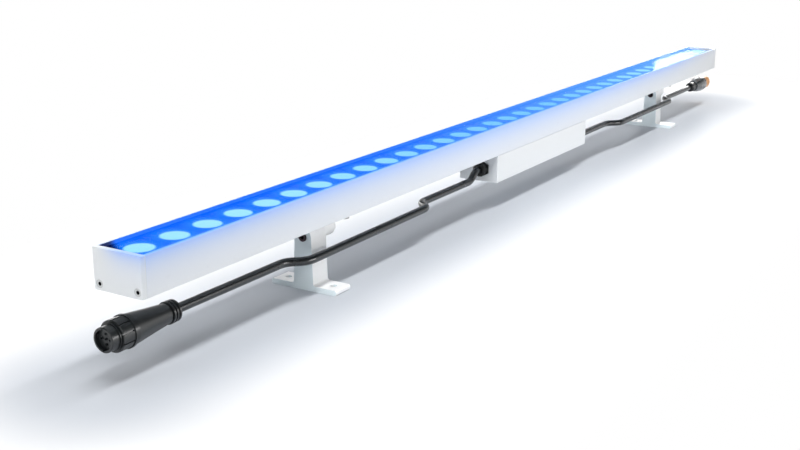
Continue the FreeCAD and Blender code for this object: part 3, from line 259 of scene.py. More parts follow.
coating = {
    "colour": (0.80, 0.825, 0.845),
    "bracketColour": (0.95, 0.96, 0.965),
    # painted shade: the brackets' sides that look along X get this darker, cooler colour
    "bracketSawnShade": (0.83, 0.92, 0.95),
    "cutPaler": 1.03,
    "cutStretch": (40.0, 700.0, 30.0),
    "sawnShadeFacing": (0.75, 0.9),
    "roughness": 0.40,
    "drift": 0.05,
    "grainSize": 1100.0,
    "grainHeight": 0.00006,
    "grainStrength": 0.3,
}

# painted glow of the row's light on the housing's paint, strongest near the rim
rimGlow = {
    "rimHeight": 0.084,
    "rimFace": 0.08385,
    "tint": (0.17, 0.43, 1.0),
    "light": (0.0, 0.02, 0.14),
    "share": 0.70,
    "shareFarEnd": 0.12,
    "farEnd": (0.36, 0.60),
    "middle": 0.05,
    "middleRange": (0.05, 0.55),
    "depthMiddle": 0.0125,
    "depthEnds": 0.0085,
    "rimSides": (-0.005, 0.005),
    "rimShares": (1.0, 0.35),
    "plateDepth": 0.0062,
    "plateRange": (-0.020, 0.006),
    "plateShare": 0.62,
}

channel = {
    "halfWidth": 0.0193,
    "halfLength": 0.6005,
    "bottom": 0.0725,
    "cornerWidth": 0.0189,
    "paint": (0.01, 0.02, 0.06),
    "light": (0.006, 0.15, 0.98),
    "lightAway": (0.10, 0.35, 0.95),
    "lightDark": (0.001, 0.004, 0.05),
}

# both the channel's walls and the lens plates grow paler towards the far end
awayFade = (-0.45, 0.45, 0.0, 0.85)


def glowOnSides(tree, up, along, across):
    # painted glow: the light of the row is painted as spilling over the rim and down both long
    # sides
    toSide = mathNode(tree, "MULTIPLY", mathNode(tree, "SIGN", across), -1.0)
    toward = mathNode(tree, "MULTIPLY", along, toSide)
    offCentre = mathNode(tree, "ABSOLUTE", mathNode(tree, "ADD", toward, rimGlow["middle"]))
    depth = mapRange(tree, offCentre, *rimGlow["middleRange"], rimGlow["depthMiddle"],
                     rimGlow["depthEnds"])
    below = mathNode(tree, "SUBTRACT", rimGlow["rimHeight"], up)
    ratio = mathNode(tree, "MULTIPLY", mathNode(tree, "DIVIDE", below, depth), -1.0)
    fall = mathNode(tree, "EXPONENT", ratio)
    farEnd = mapRange(tree, toward, *rimGlow["farEnd"], rimGlow["share"], rimGlow["shareFarEnd"])
    rim = mathNode(tree, "GREATER_THAN", up, rimGlow["rimFace"])
    rimShare = mapRange(tree, across, *rimGlow["rimSides"], *rimGlow["rimShares"])
    spill = mathNode(tree, "MULTIPLY", fall, farEnd)
    onRim = mathNode(tree, "MULTIPLY", mathNode(tree, "SUBTRACT", rimShare, spill), rim)
    return mathNode(tree, "ADD", spill, onRim)


def glowOnEnd(tree, up, along, across):
    # on an end plate the painted glow stays near the rim and fades towards its dark corner
    below = mathNode(tree, "SUBTRACT", rimGlow["rimHeight"], up)
    ratio = mathNode(tree, "MULTIPLY", below, -1.0 / rimGlow["plateDepth"])
    fall = mathNode(tree, "EXPONENT", ratio)
    turned = mathNode(tree, "MULTIPLY", across, mathNode(tree, "SIGN", along))
    share = mapRange(tree, turned, *rimGlow["plateRange"], 0.0, rimGlow["plateShare"])
    return mathNode(tree, "MULTIPLY", fall, share)


def paintGlow(tree, shader, shown, glow):
    # the painted glow tints the paint colour and adds a little emission of its own
    along, across, up = splitPlace(tree, objectPlace(tree))
    share = glow(tree, up, along, across)
    shown = mixColour(tree, share, shown, rimGlow["tint"])
    light = mixColour(tree, share, (0.0, 0.0, 0.0), rimGlow["light"])
    # inside the channel the wall glows as the lens plates do, a painted glow of the row's light
    fromMiddle = mathNode(tree, "ABSOLUTE", across)
    fromEnds = mathNode(tree, "ABSOLUTE", along)
    inside = mathNode(tree, "MULTIPLY",
                      mathNode(tree, "LESS_THAN", fromMiddle, channel["halfWidth"]),
                      mathNode(tree, "LESS_THAN", fromEnds, channel["halfLength"]))
    inside = mathNode(tree, "MULTIPLY", inside,
                      mathNode(tree, "GREATER_THAN", up, channel["bottom"]))
    corner = useGroup(tree, rowLight, Half_Width=channel["cornerWidth"]).outputs["Corner"]
    wall = mixColour(tree, mapRange(tree, along, *awayFade), channel["light"], channel["lightAway"])
    wall = mixColour(tree, corner, wall, channel["lightDark"])
    tree.links.new(mixColour(tree, inside, light, wall), shader.inputs["Emission Color"])
    shader.inputs["Emission Strength"].default_value = 1.0
    return mixColour(tree, inside, shown, channel["paint"])


def paintSawnShade(tree, shown, colour):
    # the sawn faces of an extrusion keep a cooler, streaked satin; their darker colour is painted
    # shade on the sides that look along X
    normal = splitPlace(tree, tree.nodes.new("ShaderNodeNewGeometry").outputs["Normal"])[0]
    # mask of the faces that look along X, where the shade is painted
    sawn = mapRange(tree, mathNode(tree, "ABSOLUTE", normal), *coating["sawnShadeFacing"], 0.0, 1.0)
    streak = noise(tree, objectPlace(tree, coating["cutStretch"]), 1.0, 3.0)
    paler = tuple(part * coating["cutPaler"] for part in colour)
    return mixColour(tree, sawn, shown, mixColour(tree, streak, colour, paler))


def powderCoat(name, colour, glow=None, sawnShade=None):
    material, tree, shader = newMaterial(name)
    skin = useGroup(tree, powderSkin, Colour=colour, Grain_Size=coating["grainSize"],
                    Drift=coating["drift"], Roughness=coating["roughness"])
    shown = skin.outputs["Colour"]
    if glow:
        shown = paintGlow(tree, shader, shown, glow)
    if sawnShade:
        shown = paintSawnShade(tree, shown, sawnShade)
    tree.links.new(shown, shader.inputs["Base Color"])
    tree.links.new(skin.outputs["Roughness"], shader.inputs["Roughness"])
    bump(tree, shader, skin.outputs["Height"], coating["grainStrength"], coating["grainHeight"])
    return material


def moulded(name, colour, roughness, grain=0.35, specular=0.5, coat=0.0, coatRoughness=0.2):
    material, tree, shader = newMaterial(name)
    skin = useGroup(tree, mouldedSkin, Colour=colour, Roughness=roughness, Wear=moulding["wear"])
    tree.links.new(skin.outputs["Colour"], shader.inputs["Base Color"])
    tree.links.new(skin.outputs["Roughness"], shader.inputs["Roughness"])
    shader.inputs["Specular IOR Level"].default_value = specular
    shader.inputs["Coat Weight"].default_value = coat
    shader.inputs["Coat Roughness"].default_value = coatRoughness
    bump(tree, shader, skin.outputs["Height"], grain, moulding["grainHeight"])
    return material


turning = {
    "markScale": 800.0,
    "markDarker": 0.8,
    "markRange": (0.2, 0.8),
    "smoother": 0.06,
    "rougher": 0.08,
    "markStrength": 0.2,
    "markHeight": 0.00003,
    "socketShadeEdge": 0.0002,
    "socketShadeColour": (0.004, 0.004, 0.005),
}


def turnedMetal(name, colour, roughness, socket=None):
    # lathe marks, and painted shade as a black disc in the hex socket where a place (across, up,
    # radius) is given
    material, tree, shader = newMaterial(name)
    shader.inputs["Metallic"].default_value = 1.0
    place = objectPlace(tree)
    marks = noise(tree, place, turning["markScale"], 3.0)
    darker = tuple(part * turning["markDarker"] for part in colour)
    shown = mixColour(tree, marks, darker, colour)
    if socket:
        across, up, radius = socket
        side, high = splitPlace(tree, place)[1:]
        sideOff = mathNode(tree, "SUBTRACT", mathNode(tree, "ABSOLUTE", side), across)
        highOff = mathNode(tree, "SUBTRACT", high, up)
        squares = mathNode(tree, "MULTIPLY_ADD", sideOff, sideOff,
                           mathNode(tree, "MULTIPLY", highOff, highOff))
        # black disc over the socket: painted shade in the recess
        inside = mapRange(tree, mathNode(tree, "SQRT", squares), radius,
                          radius + turning["socketShadeEdge"], 1.0, 0.0)
        shown = mixColour(tree, inside, shown, turning["socketShadeColour"])
    tree.links.new(shown, shader.inputs["Base Color"])
    rough = mapRange(tree, marks, *turning["markRange"], roughness - turning["smoother"],
                     roughness + turning["rougher"])
    tree.links.new(rough, shader.inputs["Roughness"])
    bump(tree, shader, marks, turning["markStrength"], turning["markHeight"])
    return material


lit = {
    "disc": (0.30, 0.735, 0.92),
    "discPale": (0.38, 0.80, 0.95),
    "discAway": (0.17, 0.55, 0.97),
    "discRim": (0.02, 0.27, 1.0),
    "discRadius": 0.0112,
    "discRimInside": 0.0022,
    "discRimOutside": 0.0002,
    "discMiddle": (0.05, 0.50),
    "mottleScale": 420.0,
    "fieldNear": (0.010, 0.20, 1.0),
    "fieldFar": (0.002, 0.125, 0.98),
    "fieldFront": (0.10, 0.34, 1.0),
    "fieldAway": (0.11, 0.38, 0.97),
    "fieldReach": 0.021,
    "frontLine": 0.0168,
    "frontRange": (0.024, 0.0345),
    "frontShare": 0.8,
    "dark": (0.001, 0.004, 0.050),
    "basePaint": 0.92,
    "roughness": 0.35,
}


def lensColour(tree, distance):
    along = splitPlace(tree, objectPlace(tree))[0]
    mottle = noise(tree, objectPlace(tree), lit["mottleScale"], 2.0)
    colour = mixColour(tree, mottle, lit["disc"], lit["discPale"])
    middle = mapRange(tree, mathNode(tree, "ABSOLUTE", along), *lit["discMiddle"], 1.0, 0.0)
    colour = mixColour(tree, middle, colour, lit["discAway"])
    edge = mapRange(tree, distance, lit["discRadius"] - lit["discRimInside"],
                    lit["discRadius"] + lit["discRimOutside"], 0.0, 1.0)
    return mixColour(tree, edge, colour, lit["discRim"])


def fieldColour(tree, distance, corner):
    fade = mapRange(tree, distance, lit["discRadius"], lit["fieldReach"], 0.0, 1.0)
    colour = mixColour(tree, fade, lit["fieldNear"], lit["fieldFar"])
    along, across = splitPlace(tree, objectPlace(tree))[:2]
    fromFront = mathNode(tree, "ABSOLUTE", mathNode(tree, "ADD", across, -lit["frontLine"]))
    frontShare = mapRange(tree, fromFront, *lit["frontRange"], 0.0, lit["frontShare"])
    colour = mixColour(tree, frontShare, colour, lit["fieldFront"])
    colour = mixColour(tree, mapRange(tree, along, *awayFade), colour, lit["fieldAway"])
    return mixColour(tree, corner, colour, lit["dark"])


def litSurface(name, lens):
    # a lens or the plate around it, lit from behind
    material, tree, shader = newMaterial(name)
    row = useGroup(tree, rowLight)
    distance = row.outputs["Distance"]
    if lens:
        colour = lensColour(tree, distance)
    else:
        colour = fieldColour(tree, distance, row.outputs["Corner"])
    tree.links.new(colour, shader.inputs["Emission Color"])
    shader.inputs["Emission Strength"].default_value = 1.0
    tree.links.new(mixColour(tree, lit["basePaint"], colour, (0.0, 0.0, 0.0)),
                   shader.inputs["Base Color"])
    shader.inputs["Roughness"].default_value = lit["roughness"]
    shader.inputs["Specular IOR Level"].default_value = 0.0
    return material


cover = {
    "colour": (0.93, 0.97, 1.0, 1.0),
    "ior": 1.3,
    "smearStretch": (9.0, 40.0, 40.0),
    "roughness": (0.3, 0.8, 0.02, 0.12),
    "alpha": (0.45, 0.8, 0.035, 0.06),
}


def clearCover(name):
    # clear sheet with faint smears, see-through enough to keep the row's colours
    material, tree, shader = newMaterial(name)
    smear = noise(tree, objectPlace(tree, cover["smearStretch"]), 1.0, 4.0)
    shader.inputs["Base Color"].default_value = cover["colour"]
    shader.inputs["Transmission Weight"].default_value = 1.0
    shader.inputs["IOR"].default_value = cover["ior"]
    tree.links.new(mapRange(tree, smear, *cover["roughness"]), shader.inputs["Roughness"])
    tree.links.new(mapRange(tree, smear, *cover["alpha"]), shader.inputs["Alpha"])
    return material


finishes = {
    "sideCoat": powderCoat("sideCoat", coating["colour"], glowOnSides),
    "endCoat": powderCoat("endCoat", coating["colour"], glowOnEnd),
    "caseCoat": powderCoat("caseCoat", coating["colour"]),
    "bracketCoat": powderCoat("bracketCoat", coating["bracketColour"],
                              sawnShade=coating["bracketSawnShade"]),
    "endScrewSteel": turnedMetal("endScrewSteel", (0.66, 0.68, 0.69), 0.34,
                                 socket=(0.0166, 0.0594, 0.0013)),
    "tiltScrewSteel": turnedMetal("tiltScrewSteel", (0.05, 0.04, 0.045), 0.28,
                                  socket=(0.0, 0.0434, 0.0016)),
    "contactSteel": turnedMetal("contactSteel", (0.035, 0.04, 0.042), 0.3),
    "screwSteel": turnedMetal("screwSteel", (0.42, 0.42, 0.42), 0.3),
    "sealSilicone": moulded("sealSilicone", (0.74, 0.77, 0.80), 0.6),
    "coverClear": clearCover("coverClear"),
    "litLens": litSurface("litLens", True),
    "litField": litSurface("litField", False),
    "boardWhite": moulded("boardWhite", (0.75, 0.77, 0.80), 0.4),
    "boardGreen": moulded("boardGreen", (0.02, 0.14, 0.06), 0.35),
    "darkPart": moulded("darkPart", (0.03, 0.03, 0.032), 0.5),
    "chokeCopper": turnedMetal("chokeCopper", (0.62, 0.30, 0.14), 0.35),
    "terminalPale": moulded("terminalPale", (0.62, 0.64, 0.62), 0.45),
    "wireRed": moulded("wireRed", (0.45, 0.03, 0.02), 0.45),
    "glandBlack": moulded("glandBlack", (0.004, 0.0045, 0.005), 0.36, 0.3, 0.35),
    "leadRubber": moulded("leadRubber", (0.003, 0.005, 0.0065), 0.24, 0.2, 0.7, coat=0.15,
                          coatRoughness=0.15),
    "connectorBlack": moulded("connectorBlack", (0.006, 0.008, 0.009), 0.34, 0.35, 0.5, coat=0.25,
                              coatRoughness=0.15),
    "connectorGrey": moulded("connectorGrey", (0.035, 0.045, 0.05), 0.24, 0.3, 0.7, coat=0.8,
                             coatRoughness=0.08),
    "sleeveOrange": moulded("sleeveOrange", (0.86, 0.40, 0.14), 0.40),
    "contactBrass": turnedMetal("contactBrass", (0.75, 0.52, 0.20), 0.25),
    "washerNylon": moulded("washerNylon", (0.55, 0.56, 0.55), 0.5),
}

dressing = {
    "sideCoat": ["housing_profile"],
    "endCoat": ["end_plate_near", "end_plate_far"],
    "caseCoat": ["driver_case"],
    "bracketCoat": ["bracket_base_near", "bracket_base_far", "tilt_arm_near", "tilt_arm_far"],
    "endScrewSteel": ["end_plate_screws"],
    "tiltScrewSteel": ["tilt_screws"],
    "screwSteel": ["board_screws", "case_screws", "driver_board_screws", "arm_screws",
                   "arm_nuts", "tilt_nuts", "plain_washers"],
    "sealSilicone": ["end_gasket_near", "end_gasket_far", "case_gasket", "feed_grommet",
                     "gland_seals"],
    "coverClear": ["cover_lens"],
    "litLens": ["led_chips"],
    "litField": ["lens_plates", "cover_seals"],
    "boardWhite": ["led_boards"],
    "boardGreen": ["driver_board"],
    "darkPart": ["driver_transformer", "driver_capacitors", "driver_chips"],
    "chokeCopper": ["driver_choke"],
    "terminalPale": ["driver_terminals", "board_links"],
    "wireRed": ["feed_wires"],
    "glandBlack": ["gland_body_near", "gland_body_far", "gland_dome_near", "gland_dome_far",
                   "gland_lock_nuts"],
    "leadRubber": ["lead_tails", "near_lead", "far_lead"],
    "connectorBlack": ["socket_body", "socket_insert", "socket_nut", "plug_body"],
    "connectorGrey": ["plug_coupling"],
    "sleeveOrange": ["plug_sleeve"],
    "contactBrass": ["plug_pins"],
    "contactSteel": ["socket_contacts"],
    "washerNylon": ["friction_washers"],
}
for finish, nodes in dressing.items():
    for node in nodes:
        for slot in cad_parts[node].material_slots:
            slot.material = finishes[finish]
print("finishes set on the frame's nodes")

lead = {
    # the routes leave the glands, jog out round the brackets and end in the connectors
    "radius": 0.0035,
    "order": 3,
    "stepsAlong": 12,
    "stepsRound": 6,
    "near": [
        (-0.1200, -0.0040, 0.0405), (-0.1270, -0.0040, 0.0405), (-0.1350, -0.0040, 0.0324),
        (-0.1464, -0.0040, 0.0324), (-0.2161, -0.0040, 0.0324), (-0.2326, -0.0040, 0.0324),
        (-0.2420, -0.0175, 0.0324), (-0.2585, -0.0175, 0.0323), (-0.4072, -0.0175, 0.0314),
        (-0.4240, -0.0175, 0.0313), (-0.4340, -0.0040, 0.0313), (-0.4508, -0.0040, 0.0313),
        (-0.5590, -0.0040, 0.0313),
    ],
    "far": [
        (0.1200, -0.0040, 0.0405), (0.1270, -0.0040, 0.0405), (0.1350, -0.0040, 0.0324),
        (0.1464, -0.0040, 0.0324), (0.2022, -0.0040, 0.0324), (0.2190, -0.0040, 0.0324),
        (0.2290, -0.0175, 0.0324), (0.2458, -0.0175, 0.0324), (0.4006, -0.0175, 0.0324),
        (0.4180, -0.0175, 0.0324), (0.4290, -0.0040, 0.0324), (0.4464, -0.0040, 0.0324),
        (0.5440, -0.0040, 0.0324),
    ],
}


def routeLength(curve):
    # measured along the bare centreline, before the curve gets its thickness
    evaluated = curve.evaluated_get(bpy.context.evaluated_depsgraph_get())
    mesh = bpy.data.meshes.new_from_object(evaluated)
    points = [vertex.co for vertex in mesh.vertices]
    total = sum((after - before).length for before, after in zip(points, points[1:]))
    bpy.data.meshes.remove(mesh)
    return total


def makeLead(name, node, points):
    data = bpy.data.curves.new(name, "CURVE")
    data.dimensions = "3D"
    spline = data.splines.new("NURBS")
    spline.points.add(len(points) - 1)
    for control, point in zip(spline.points, points):
        control.co = (*point, 1.0)
    spline.use_endpoint_u = True
    spline.order_u = lead["order"]
    spline.resolution_u = lead["stepsAlong"]
    curve = bpy.data.objects.new(name, data)
    bpy.context.collection.objects.link(curve)
    length = round(routeLength(curve), 3)
    data.bevel_depth = lead["radius"]
    data.bevel_resolution = lead["stepsRound"]
    data.use_fill_caps = True
    data.materials.append(finishes["leadRubber"])
    print(name, "is", length, "m long")
    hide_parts(node)
    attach(curve, "luminaire")


makeLead("nearLead", "near_lead", lead["near"])
makeLead("farLead", "far_lead", lead["far"])


def newRowTree(name, inputs):
    # a tree that repeats the mesh it is given, with named inputs for its sizes
    tree = bpy.data.node_groups.new(name, "GeometryNodeTree")
    tree.interface.new_socket(name="Geometry", in_out="INPUT", socket_type="NodeSocketGeometry")
    for label, kind in inputs:
        tree.interface.new_socket(name=label, in_out="INPUT", socket_type=kind)
    tree.interface.new_socket(name="Geometry", in_out="OUTPUT", socket_type="NodeSocketGeometry")
    return tree, tree.nodes.new("NodeGroupInput"), tree.nodes.new("NodeGroupOutput")


def closeRowTree(tree, entry, leave, geometry):
    # real geometry with its material, because the export drops instances
    real = tree.nodes.new("GeometryNodeRealizeInstances")
    finish = tree.nodes.new("GeometryNodeSetMaterial")
    tree.links.new(geometry, real.inputs[0])
    tree.links.new(real.outputs[0], finish.inputs["Geometry"])
    tree.links.new(entry.outputs["Finish"], finish.inputs["Material"])
    tree.links.new(finish.outputs[0], leave.inputs[0])


def bakeRow(name, tree, pattern, values, body):
    # sets the tree's named inputs, turns its result into a plain mesh and lets it ride
    holder = bpy.data.objects.new(name + "Pattern", pattern)
    bpy.context.collection.objects.link(holder)
    modifier = holder.modifiers.new("row", "NODES")
    modifier.node_group = tree
    for item in tree.interface.items_tree:
        if item.in_out == "INPUT" and item.name in values:
            modifier[item.identifier] = values[item.name]
    evaluated = holder.evaluated_get(bpy.context.evaluated_depsgraph_get())
    mesh = bpy.data.meshes.new_from_object(evaluated)
    mesh.name = name
    holder.modifiers.clear()
    bpy.data.objects.remove(holder)
    piece = bpy.data.objects.new(name, mesh)
    bpy.context.collection.objects.link(piece)
    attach(piece, body)
    return piece


def turnedPattern(name, profile, segments):
    # revolves a closed (radius, height) outline about Z
    mesh = bmesh.new()
    rings = []
    for radius, height in profile:
        ring = []
        for index in range(segments if radius > 0 else 1):
            angle = 2 * math.pi * index / segments
            ring.append(mesh.verts.new((radius * math.cos(angle), radius * math.sin(angle),
                                        height)))
        rings.append(ring)
    for low, high in zip(rings, rings[1:]):
        for index in range(segments):
            after = (index + 1) % segments
            corners = [low[index % len(low)], low[after % len(low)],
                       high[after % len(high)], high[index % len(high)]]
            # next to the axis two corners are the same point
            unique = list(dict.fromkeys(corners))
            if len(unique) > 2:
                mesh.faces.new(unique)
    bmesh.ops.recalc_face_normals(mesh, faces=mesh.faces)
    data = bpy.data.meshes.new(name)
    mesh.to_mesh(data)
    mesh.free()
    return data


lensRow = {
    "count": 36,
    "pitch": lightRow["pitch"],
    "top": 0.0810,
    "faceRadius": 0.0110,
    "faceEdge": 0.0002,
    "flangeThick": 0.0010,
    "flangeWidth": 0.0012,
    "rings": 5,
    "ringDepth": 0.00018,
    "ringMargin": 0.0006,
    "middleMargin": 0.0002,
    "coneBottom": 0.0728,
    "coneFoot": 0.0044,
    "coneChamfer": 0.0006,
    "coneSteps": (0.35, 0.7, 1.0),
    "coneBulge": 0.7,
    "segments": 40,
}


def makeLensRow():
    # each lens is a cone of clear plastic under a ringed face, repeated along the channel
    size = lensRow
    top, face = size["top"], size["faceRadius"]
    bottom, foot, chamfer = size["coneBottom"], size["coneFoot"], size["coneChamfer"]
    flangeBottom = top - size["flangeThick"]
    profile = [(0.0, bottom), (foot - chamfer, bottom), (foot, bottom + chamfer)]
    for step in size["coneSteps"]:
        radius = foot + (face - size["flangeWidth"] - foot) * step ** size["coneBulge"]
        profile.append((radius, bottom + (flangeBottom - bottom) * step))
    profile += [(face, flangeBottom), (face, top - size["faceEdge"]),
                (face - size["faceEdge"], top)]
    step = (face - size["ringMargin"] - size["middleMargin"]) / size["rings"]
    for index in range(size["rings"]):
        outer = face - size["ringMargin"] - index * step
        profile += [(outer, top), (outer - step * 0.5, top - size["ringDepth"])]
    profile.append((0.0, top))
    pattern = turnedPattern("lensPattern", profile, size["segments"])

    tree, entry, leave = newRowTree("lensRowTree", [
        ("Count", "NodeSocketInt"), ("Pitch", "NodeSocketFloat"), ("Finish", "NodeSocketMaterial")])
    nodes, links = tree.nodes, tree.links
    span = nodes.new("ShaderNodeMath")
    span.operation = "MULTIPLY"
    fewer = nodes.new("ShaderNodeMath")
    fewer.operation = "SUBTRACT"
    fewer.inputs[1].default_value = 1.0
    links.new(entry.outputs["Count"], fewer.inputs[0])
    links.new(fewer.outputs[0], span.inputs[0])
    links.new(entry.outputs["Pitch"], span.inputs[1])
    half = nodes.new("ShaderNodeMath")
    half.operation = "MULTIPLY"
    half.inputs[1].default_value = -0.5
    links.new(span.outputs[0], half.inputs[0])
    start = nodes.new("ShaderNodeCombineXYZ")
    links.new(half.outputs[0], start.inputs[0])
    offset = nodes.new("ShaderNodeCombineXYZ")
    links.new(entry.outputs["Pitch"], offset.inputs[0])
    line = nodes.new("GeometryNodeMeshLine")
    links.new(entry.outputs["Count"], line.inputs["Count"])
    links.new(start.outputs[0], line.inputs["Start Location"])
    links.new(offset.outputs[0], line.inputs["Offset"])
    spread = nodes.new("GeometryNodeInstanceOnPoints")
    links.new(line.outputs[0], spread.inputs["Points"])
    links.new(entry.outputs["Geometry"], spread.inputs["Instance"])
    closeRowTree(tree, entry, leave, spread.outputs[0])
    values = {"Count": size["count"], "Pitch": size["pitch"], "Finish": finishes["litLens"]}
    piece = bakeRow("lensFaces", tree, pattern, values, "luminaire")
    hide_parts("collimator_lenses")
    print("lens row:", len(piece.data.polygons), "faces")


makeLensRow()

glandRibs = {
    "count": 14,
    "across": -0.0040,
    "height": 0.0405,
    "start": 0.1138,
    "length": 0.0044,
    "radius": 0.00655,
    "ribWidth": 0.0007,
    "ribHeight": 0.00035,
    "ribRoot": 0.0003,
}


def makeGlandRibs():
    # a ring of rounded grip ribs round each gland's dome, with their roots sunk into it
    size = glandRibs
    mesh = bmesh.new()
    half, rise = size["ribWidth"] / 2, size["ribHeight"]
    outline = [(-half, -size["ribRoot"]), (-half * 0.9, rise * 0.5), (-half * 0.4, rise),
               (half * 0.4, rise), (half * 0.9, rise * 0.5), (half, -size["ribRoot"])]
    front = [mesh.verts.new((0.0, side, up)) for side, up in outline]
    back = [mesh.verts.new((size["length"], side, up)) for side, up in outline]
    for index in range(len(outline)):
        after = (index + 1) % len(outline)
        mesh.faces.new([front[index], front[after], back[after], back[index]])
    mesh.faces.new(front)
    mesh.faces.new(back)
    bmesh.ops.recalc_face_normals(mesh, faces=mesh.faces)
    rib = bpy.data.meshes.new("gripRib")
    mesh.to_mesh(rib)
    mesh.free()

    tree, entry, leave = newRowTree("glandRibTree", [
        ("Count", "NodeSocketInt"), ("Radius", "NodeSocketFloat"),
        ("Place", "NodeSocketVector"), ("Finish", "NodeSocketMaterial")])
    nodes, links = tree.nodes, tree.links
    ring = nodes.new("GeometryNodeMeshCircle")
    links.new(entry.outputs["Count"], ring.inputs["Vertices"])
    links.new(entry.outputs["Radius"], ring.inputs["Radius"])
    place = nodes.new("GeometryNodeInputPosition")
    # a rib points away from the ring's middle, and the ring is then stood up round X
    outward = nodes.new("FunctionNodeAlignRotationToVector")
    outward.axis = "X"
    outward.pivot_axis = "Z"
    links.new(place.outputs[0], outward.inputs["Vector"])
    spread = nodes.new("GeometryNodeInstanceOnPoints")
    links.new(ring.outputs[0], spread.inputs["Points"])
    upright = nodes.new("GeometryNodeTransform")
    upright.inputs["Rotation"].default_value = (0.0, math.radians(90.0), 0.0)
    links.new(entry.outputs["Geometry"], upright.inputs["Geometry"])
    links.new(upright.outputs[0], spread.inputs["Instance"])
    links.new(outward.outputs[0], spread.inputs["Rotation"])
    turned = nodes.new("GeometryNodeTransform")
    turned.inputs["Rotation"].default_value = (0.0, math.radians(-90.0), 0.0)
    links.new(spread.outputs[0], turned.inputs["Geometry"])
    moved = nodes.new("GeometryNodeTransform")
    links.new(turned.outputs[0], moved.inputs["Geometry"])
    links.new(entry.outputs["Place"], moved.inputs["Translation"])
    closeRowTree(tree, entry, leave, moved.outputs[0])
    starts = {"glandRibsNear": -size["start"] - size["length"], "glandRibsFar": size["start"]}
    for name, along in starts.items():
        values = {"Count": size["count"], "Radius": size["radius"],
                  "Place": (along, size["across"], size["height"]),
                  "Finish": finishes["glandBlack"]}
        piece = bakeRow(name, tree, rib, values, "luminaire")
        corners = [vertex.co for vertex in piece.data.vertices]
        print(name, "from", round(min(corner.x for corner in corners), 4),
              "to", round(max(corner.x for corner in corners), 4),
              "reach", round(max(corner.z for corner in corners) - size["height"], 5))


makeGlandRibs()

cameraPlace = {
    "location": (-1.0987, -0.5124, 0.2999),
    "azimuth": -58.56,
    "elevation": 16.02,
    "roll": 0.2,
    "focalPixels": 1145.0,
    "imageWidth": 800.0,
    "sensorWidth": 36.0,
    "clipEnd": 50.0,
}


def makeCamera():
    data = bpy.data.cameras.new("camera")
    data.sensor_width = cameraPlace["sensorWidth"]
    data.lens = cameraPlace["focalPixels"] / cameraPlace["imageWidth"] * data.sensor_width
    data.clip_end = cameraPlace["clipEnd"]
    camera = bpy.data.objects.new("camera", data)
    bpy.context.collection.objects.link(camera)
    azimuth = math.radians(cameraPlace["azimuth"])
    elevation = math.radians(cameraPlace["elevation"])
    back = Vector((math.sin(azimuth) * math.cos(elevation),
                   -math.cos(azimuth) * math.cos(elevation), math.sin(elevation)))
    turn = (-back).to_track_quat("-Z", "Y").to_matrix()
    turn = turn @ Matrix.Rotation(math.radians(cameraPlace["roll"]), 3, "Z")
    camera.matrix_world = Matrix.Translation(cameraPlace["location"]) @ turn.to_4x4()
    bpy.context.scene.camera = camera


makeCamera()

studio = {
    "floorHalf": 6.0,
    # painted shadow pooled round the light fitting
    "floorShadowColour": (0.56, 0.59, 0.635),
    "floorAway": (0.93, 0.93, 0.93),
    "floorPale": (0.035, 0.135),
    "floorFade": (0.12, 0.30),
    "floorRoughness": 0.7,
    "floorGloss": 0.2,
    "lineHalf": 0.62,
    "skyFill": 0.07,
    "skyDims": (0.0, 0.45, 1.0, 0.10),
    "lamps": {
        # place, target, size along X and across, power
        "topFront": ((0.0, -0.49, 2.0), (0.0, 0.0, 0.05), (3.4, 0.26), 41.0),
        "topBack": ((0.0, 0.72, 1.85), (0.0, 0.0, 0.05), (3.4, 1.1), 16.5),
        "front": ((0.0, -1.0, 0.20), (0.0, 0.0, 0.07), (0.7, 0.2), 4.6),
        "end": ((-2.9, -0.30, 0.95), (-0.6, 0.0, 0.07), (0.9, 0.4), 32.0),
        "farEnd": ((2.6, 0.4, 0.55), (0.6, 0.0, 0.07), (0.7, 0.4), 14.0),
        "back": ((0.0, 1.4, 0.32), (0.0, 0.0, 0.07), (1.2, 0.25), 5.5),
    },
}


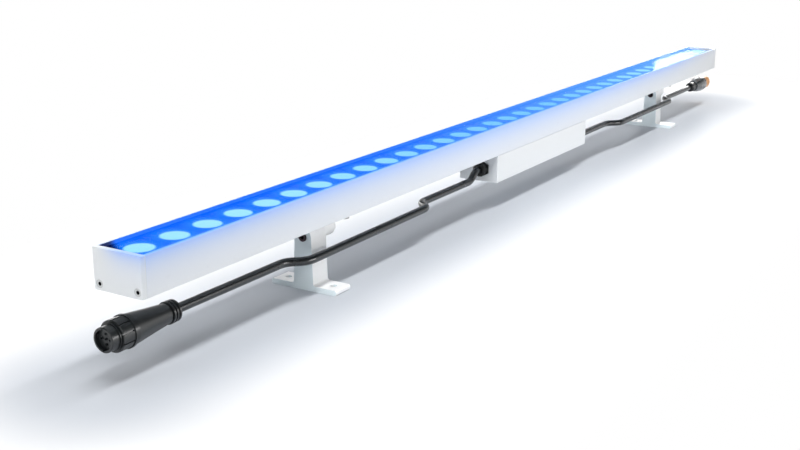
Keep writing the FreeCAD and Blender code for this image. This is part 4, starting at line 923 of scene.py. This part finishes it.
def makeFloor():
    half = studio["floorHalf"]
    mesh = bpy.data.meshes.new("floor")
    corners = [(-half, -half, 0), (half, -half, 0), (half, half, 0), (-half, half, 0)]
    mesh.from_pydata(corners, [], [(0, 1, 2, 3)])
    floor = bpy.data.objects.new("floor", mesh)
    bpy.context.collection.objects.link(floor)
    material, tree, shader = newMaterial("floorPale")
    shader.inputs["Roughness"].default_value = studio["floorRoughness"]
    shader.inputs["Specular IOR Level"].default_value = studio["floorGloss"]
    # painted shadow: grey under the light fitting, paler around it, then it gives way to the white
    # surround
    along, across = splitPlace(tree, objectPlace(tree))[:2]
    past = mathNode(tree, "SUBTRACT", mathNode(tree, "ABSOLUTE", along), studio["lineHalf"])
    past = mathNode(tree, "MAXIMUM", past, 0.0)
    squares = mathNode(tree, "MULTIPLY_ADD", across, across,
                       mathNode(tree, "MULTIPLY", past, past))
    distance = mathNode(tree, "SQRT", squares)
    paler = mapRange(tree, distance, *studio["floorPale"], 0.0, 1.0)
    tree.links.new(mixColour(tree, paler, studio["floorShadowColour"], studio["floorAway"]),
                   shader.inputs["Base Color"])
    tree.links.new(mapRange(tree, distance, *studio["floorFade"], 1.0, 0.0), shader.inputs["Alpha"])
    mesh.materials.append(material)


def makeLamps():
    # no lamp is seen itself, and the long ones overhead leave no bright bars in the gloss
    for name, (place, target, size, power) in studio["lamps"].items():
        data = bpy.data.lights.new(name, "AREA")
        data.shape = "RECTANGLE"
        data.size, data.size_y = size
        data.energy = power
        lamp = bpy.data.objects.new(name, data)
        bpy.context.collection.objects.link(lamp)
        away = (Vector(place) - Vector(target)).normalized()
        side = Vector((1, 0, 0)) if abs(away.x) < 0.7 else Vector((0, -1, 0))
        side = (side - away * side.dot(away)).normalized()
        turn = Matrix((side, away.cross(side), away)).transposed()
        lamp.matrix_world = Matrix.Translation(place) @ turn.to_4x4()
        lamp.visible_camera = False
        lamp.visible_glossy = not name.startswith("top")


def makeSky():
    # plain fill on surfaces; the camera, gloss and glass see a white surround that dims overhead
    world = bpy.data.worlds.new("studioSky")
    bpy.context.scene.world = world
    world.use_nodes = True
    tree = world.node_tree
    sky = tree.nodes["Background"]
    rays = tree.nodes.new("ShaderNodeLightPath")
    up = splitPlace(tree, tree.nodes.new("ShaderNodeTexCoord").outputs["Generated"])[2]
    seen = mapRange(tree, up, *studio["skyDims"])
    gloss = mathNode(tree, "MAXIMUM", rays.outputs["Is Glossy Ray"],
                     rays.outputs["Is Transmission Ray"])
    strength = mathNode(tree, "MULTIPLY", gloss, seen)
    strength = mathNode(tree, "MAXIMUM", strength, rays.outputs["Is Camera Ray"])
    strength = mathNode(tree, "MAXIMUM", strength, studio["skyFill"])
    sky.inputs["Color"].default_value = (1.0, 1.0, 1.0, 1.0)
    tree.links.new(strength, sky.inputs["Strength"])


makeFloor()
makeLamps()
makeSky()
bpy.context.scene.view_settings.view_transform = "Standard"
print("camera, floor and lamps set")
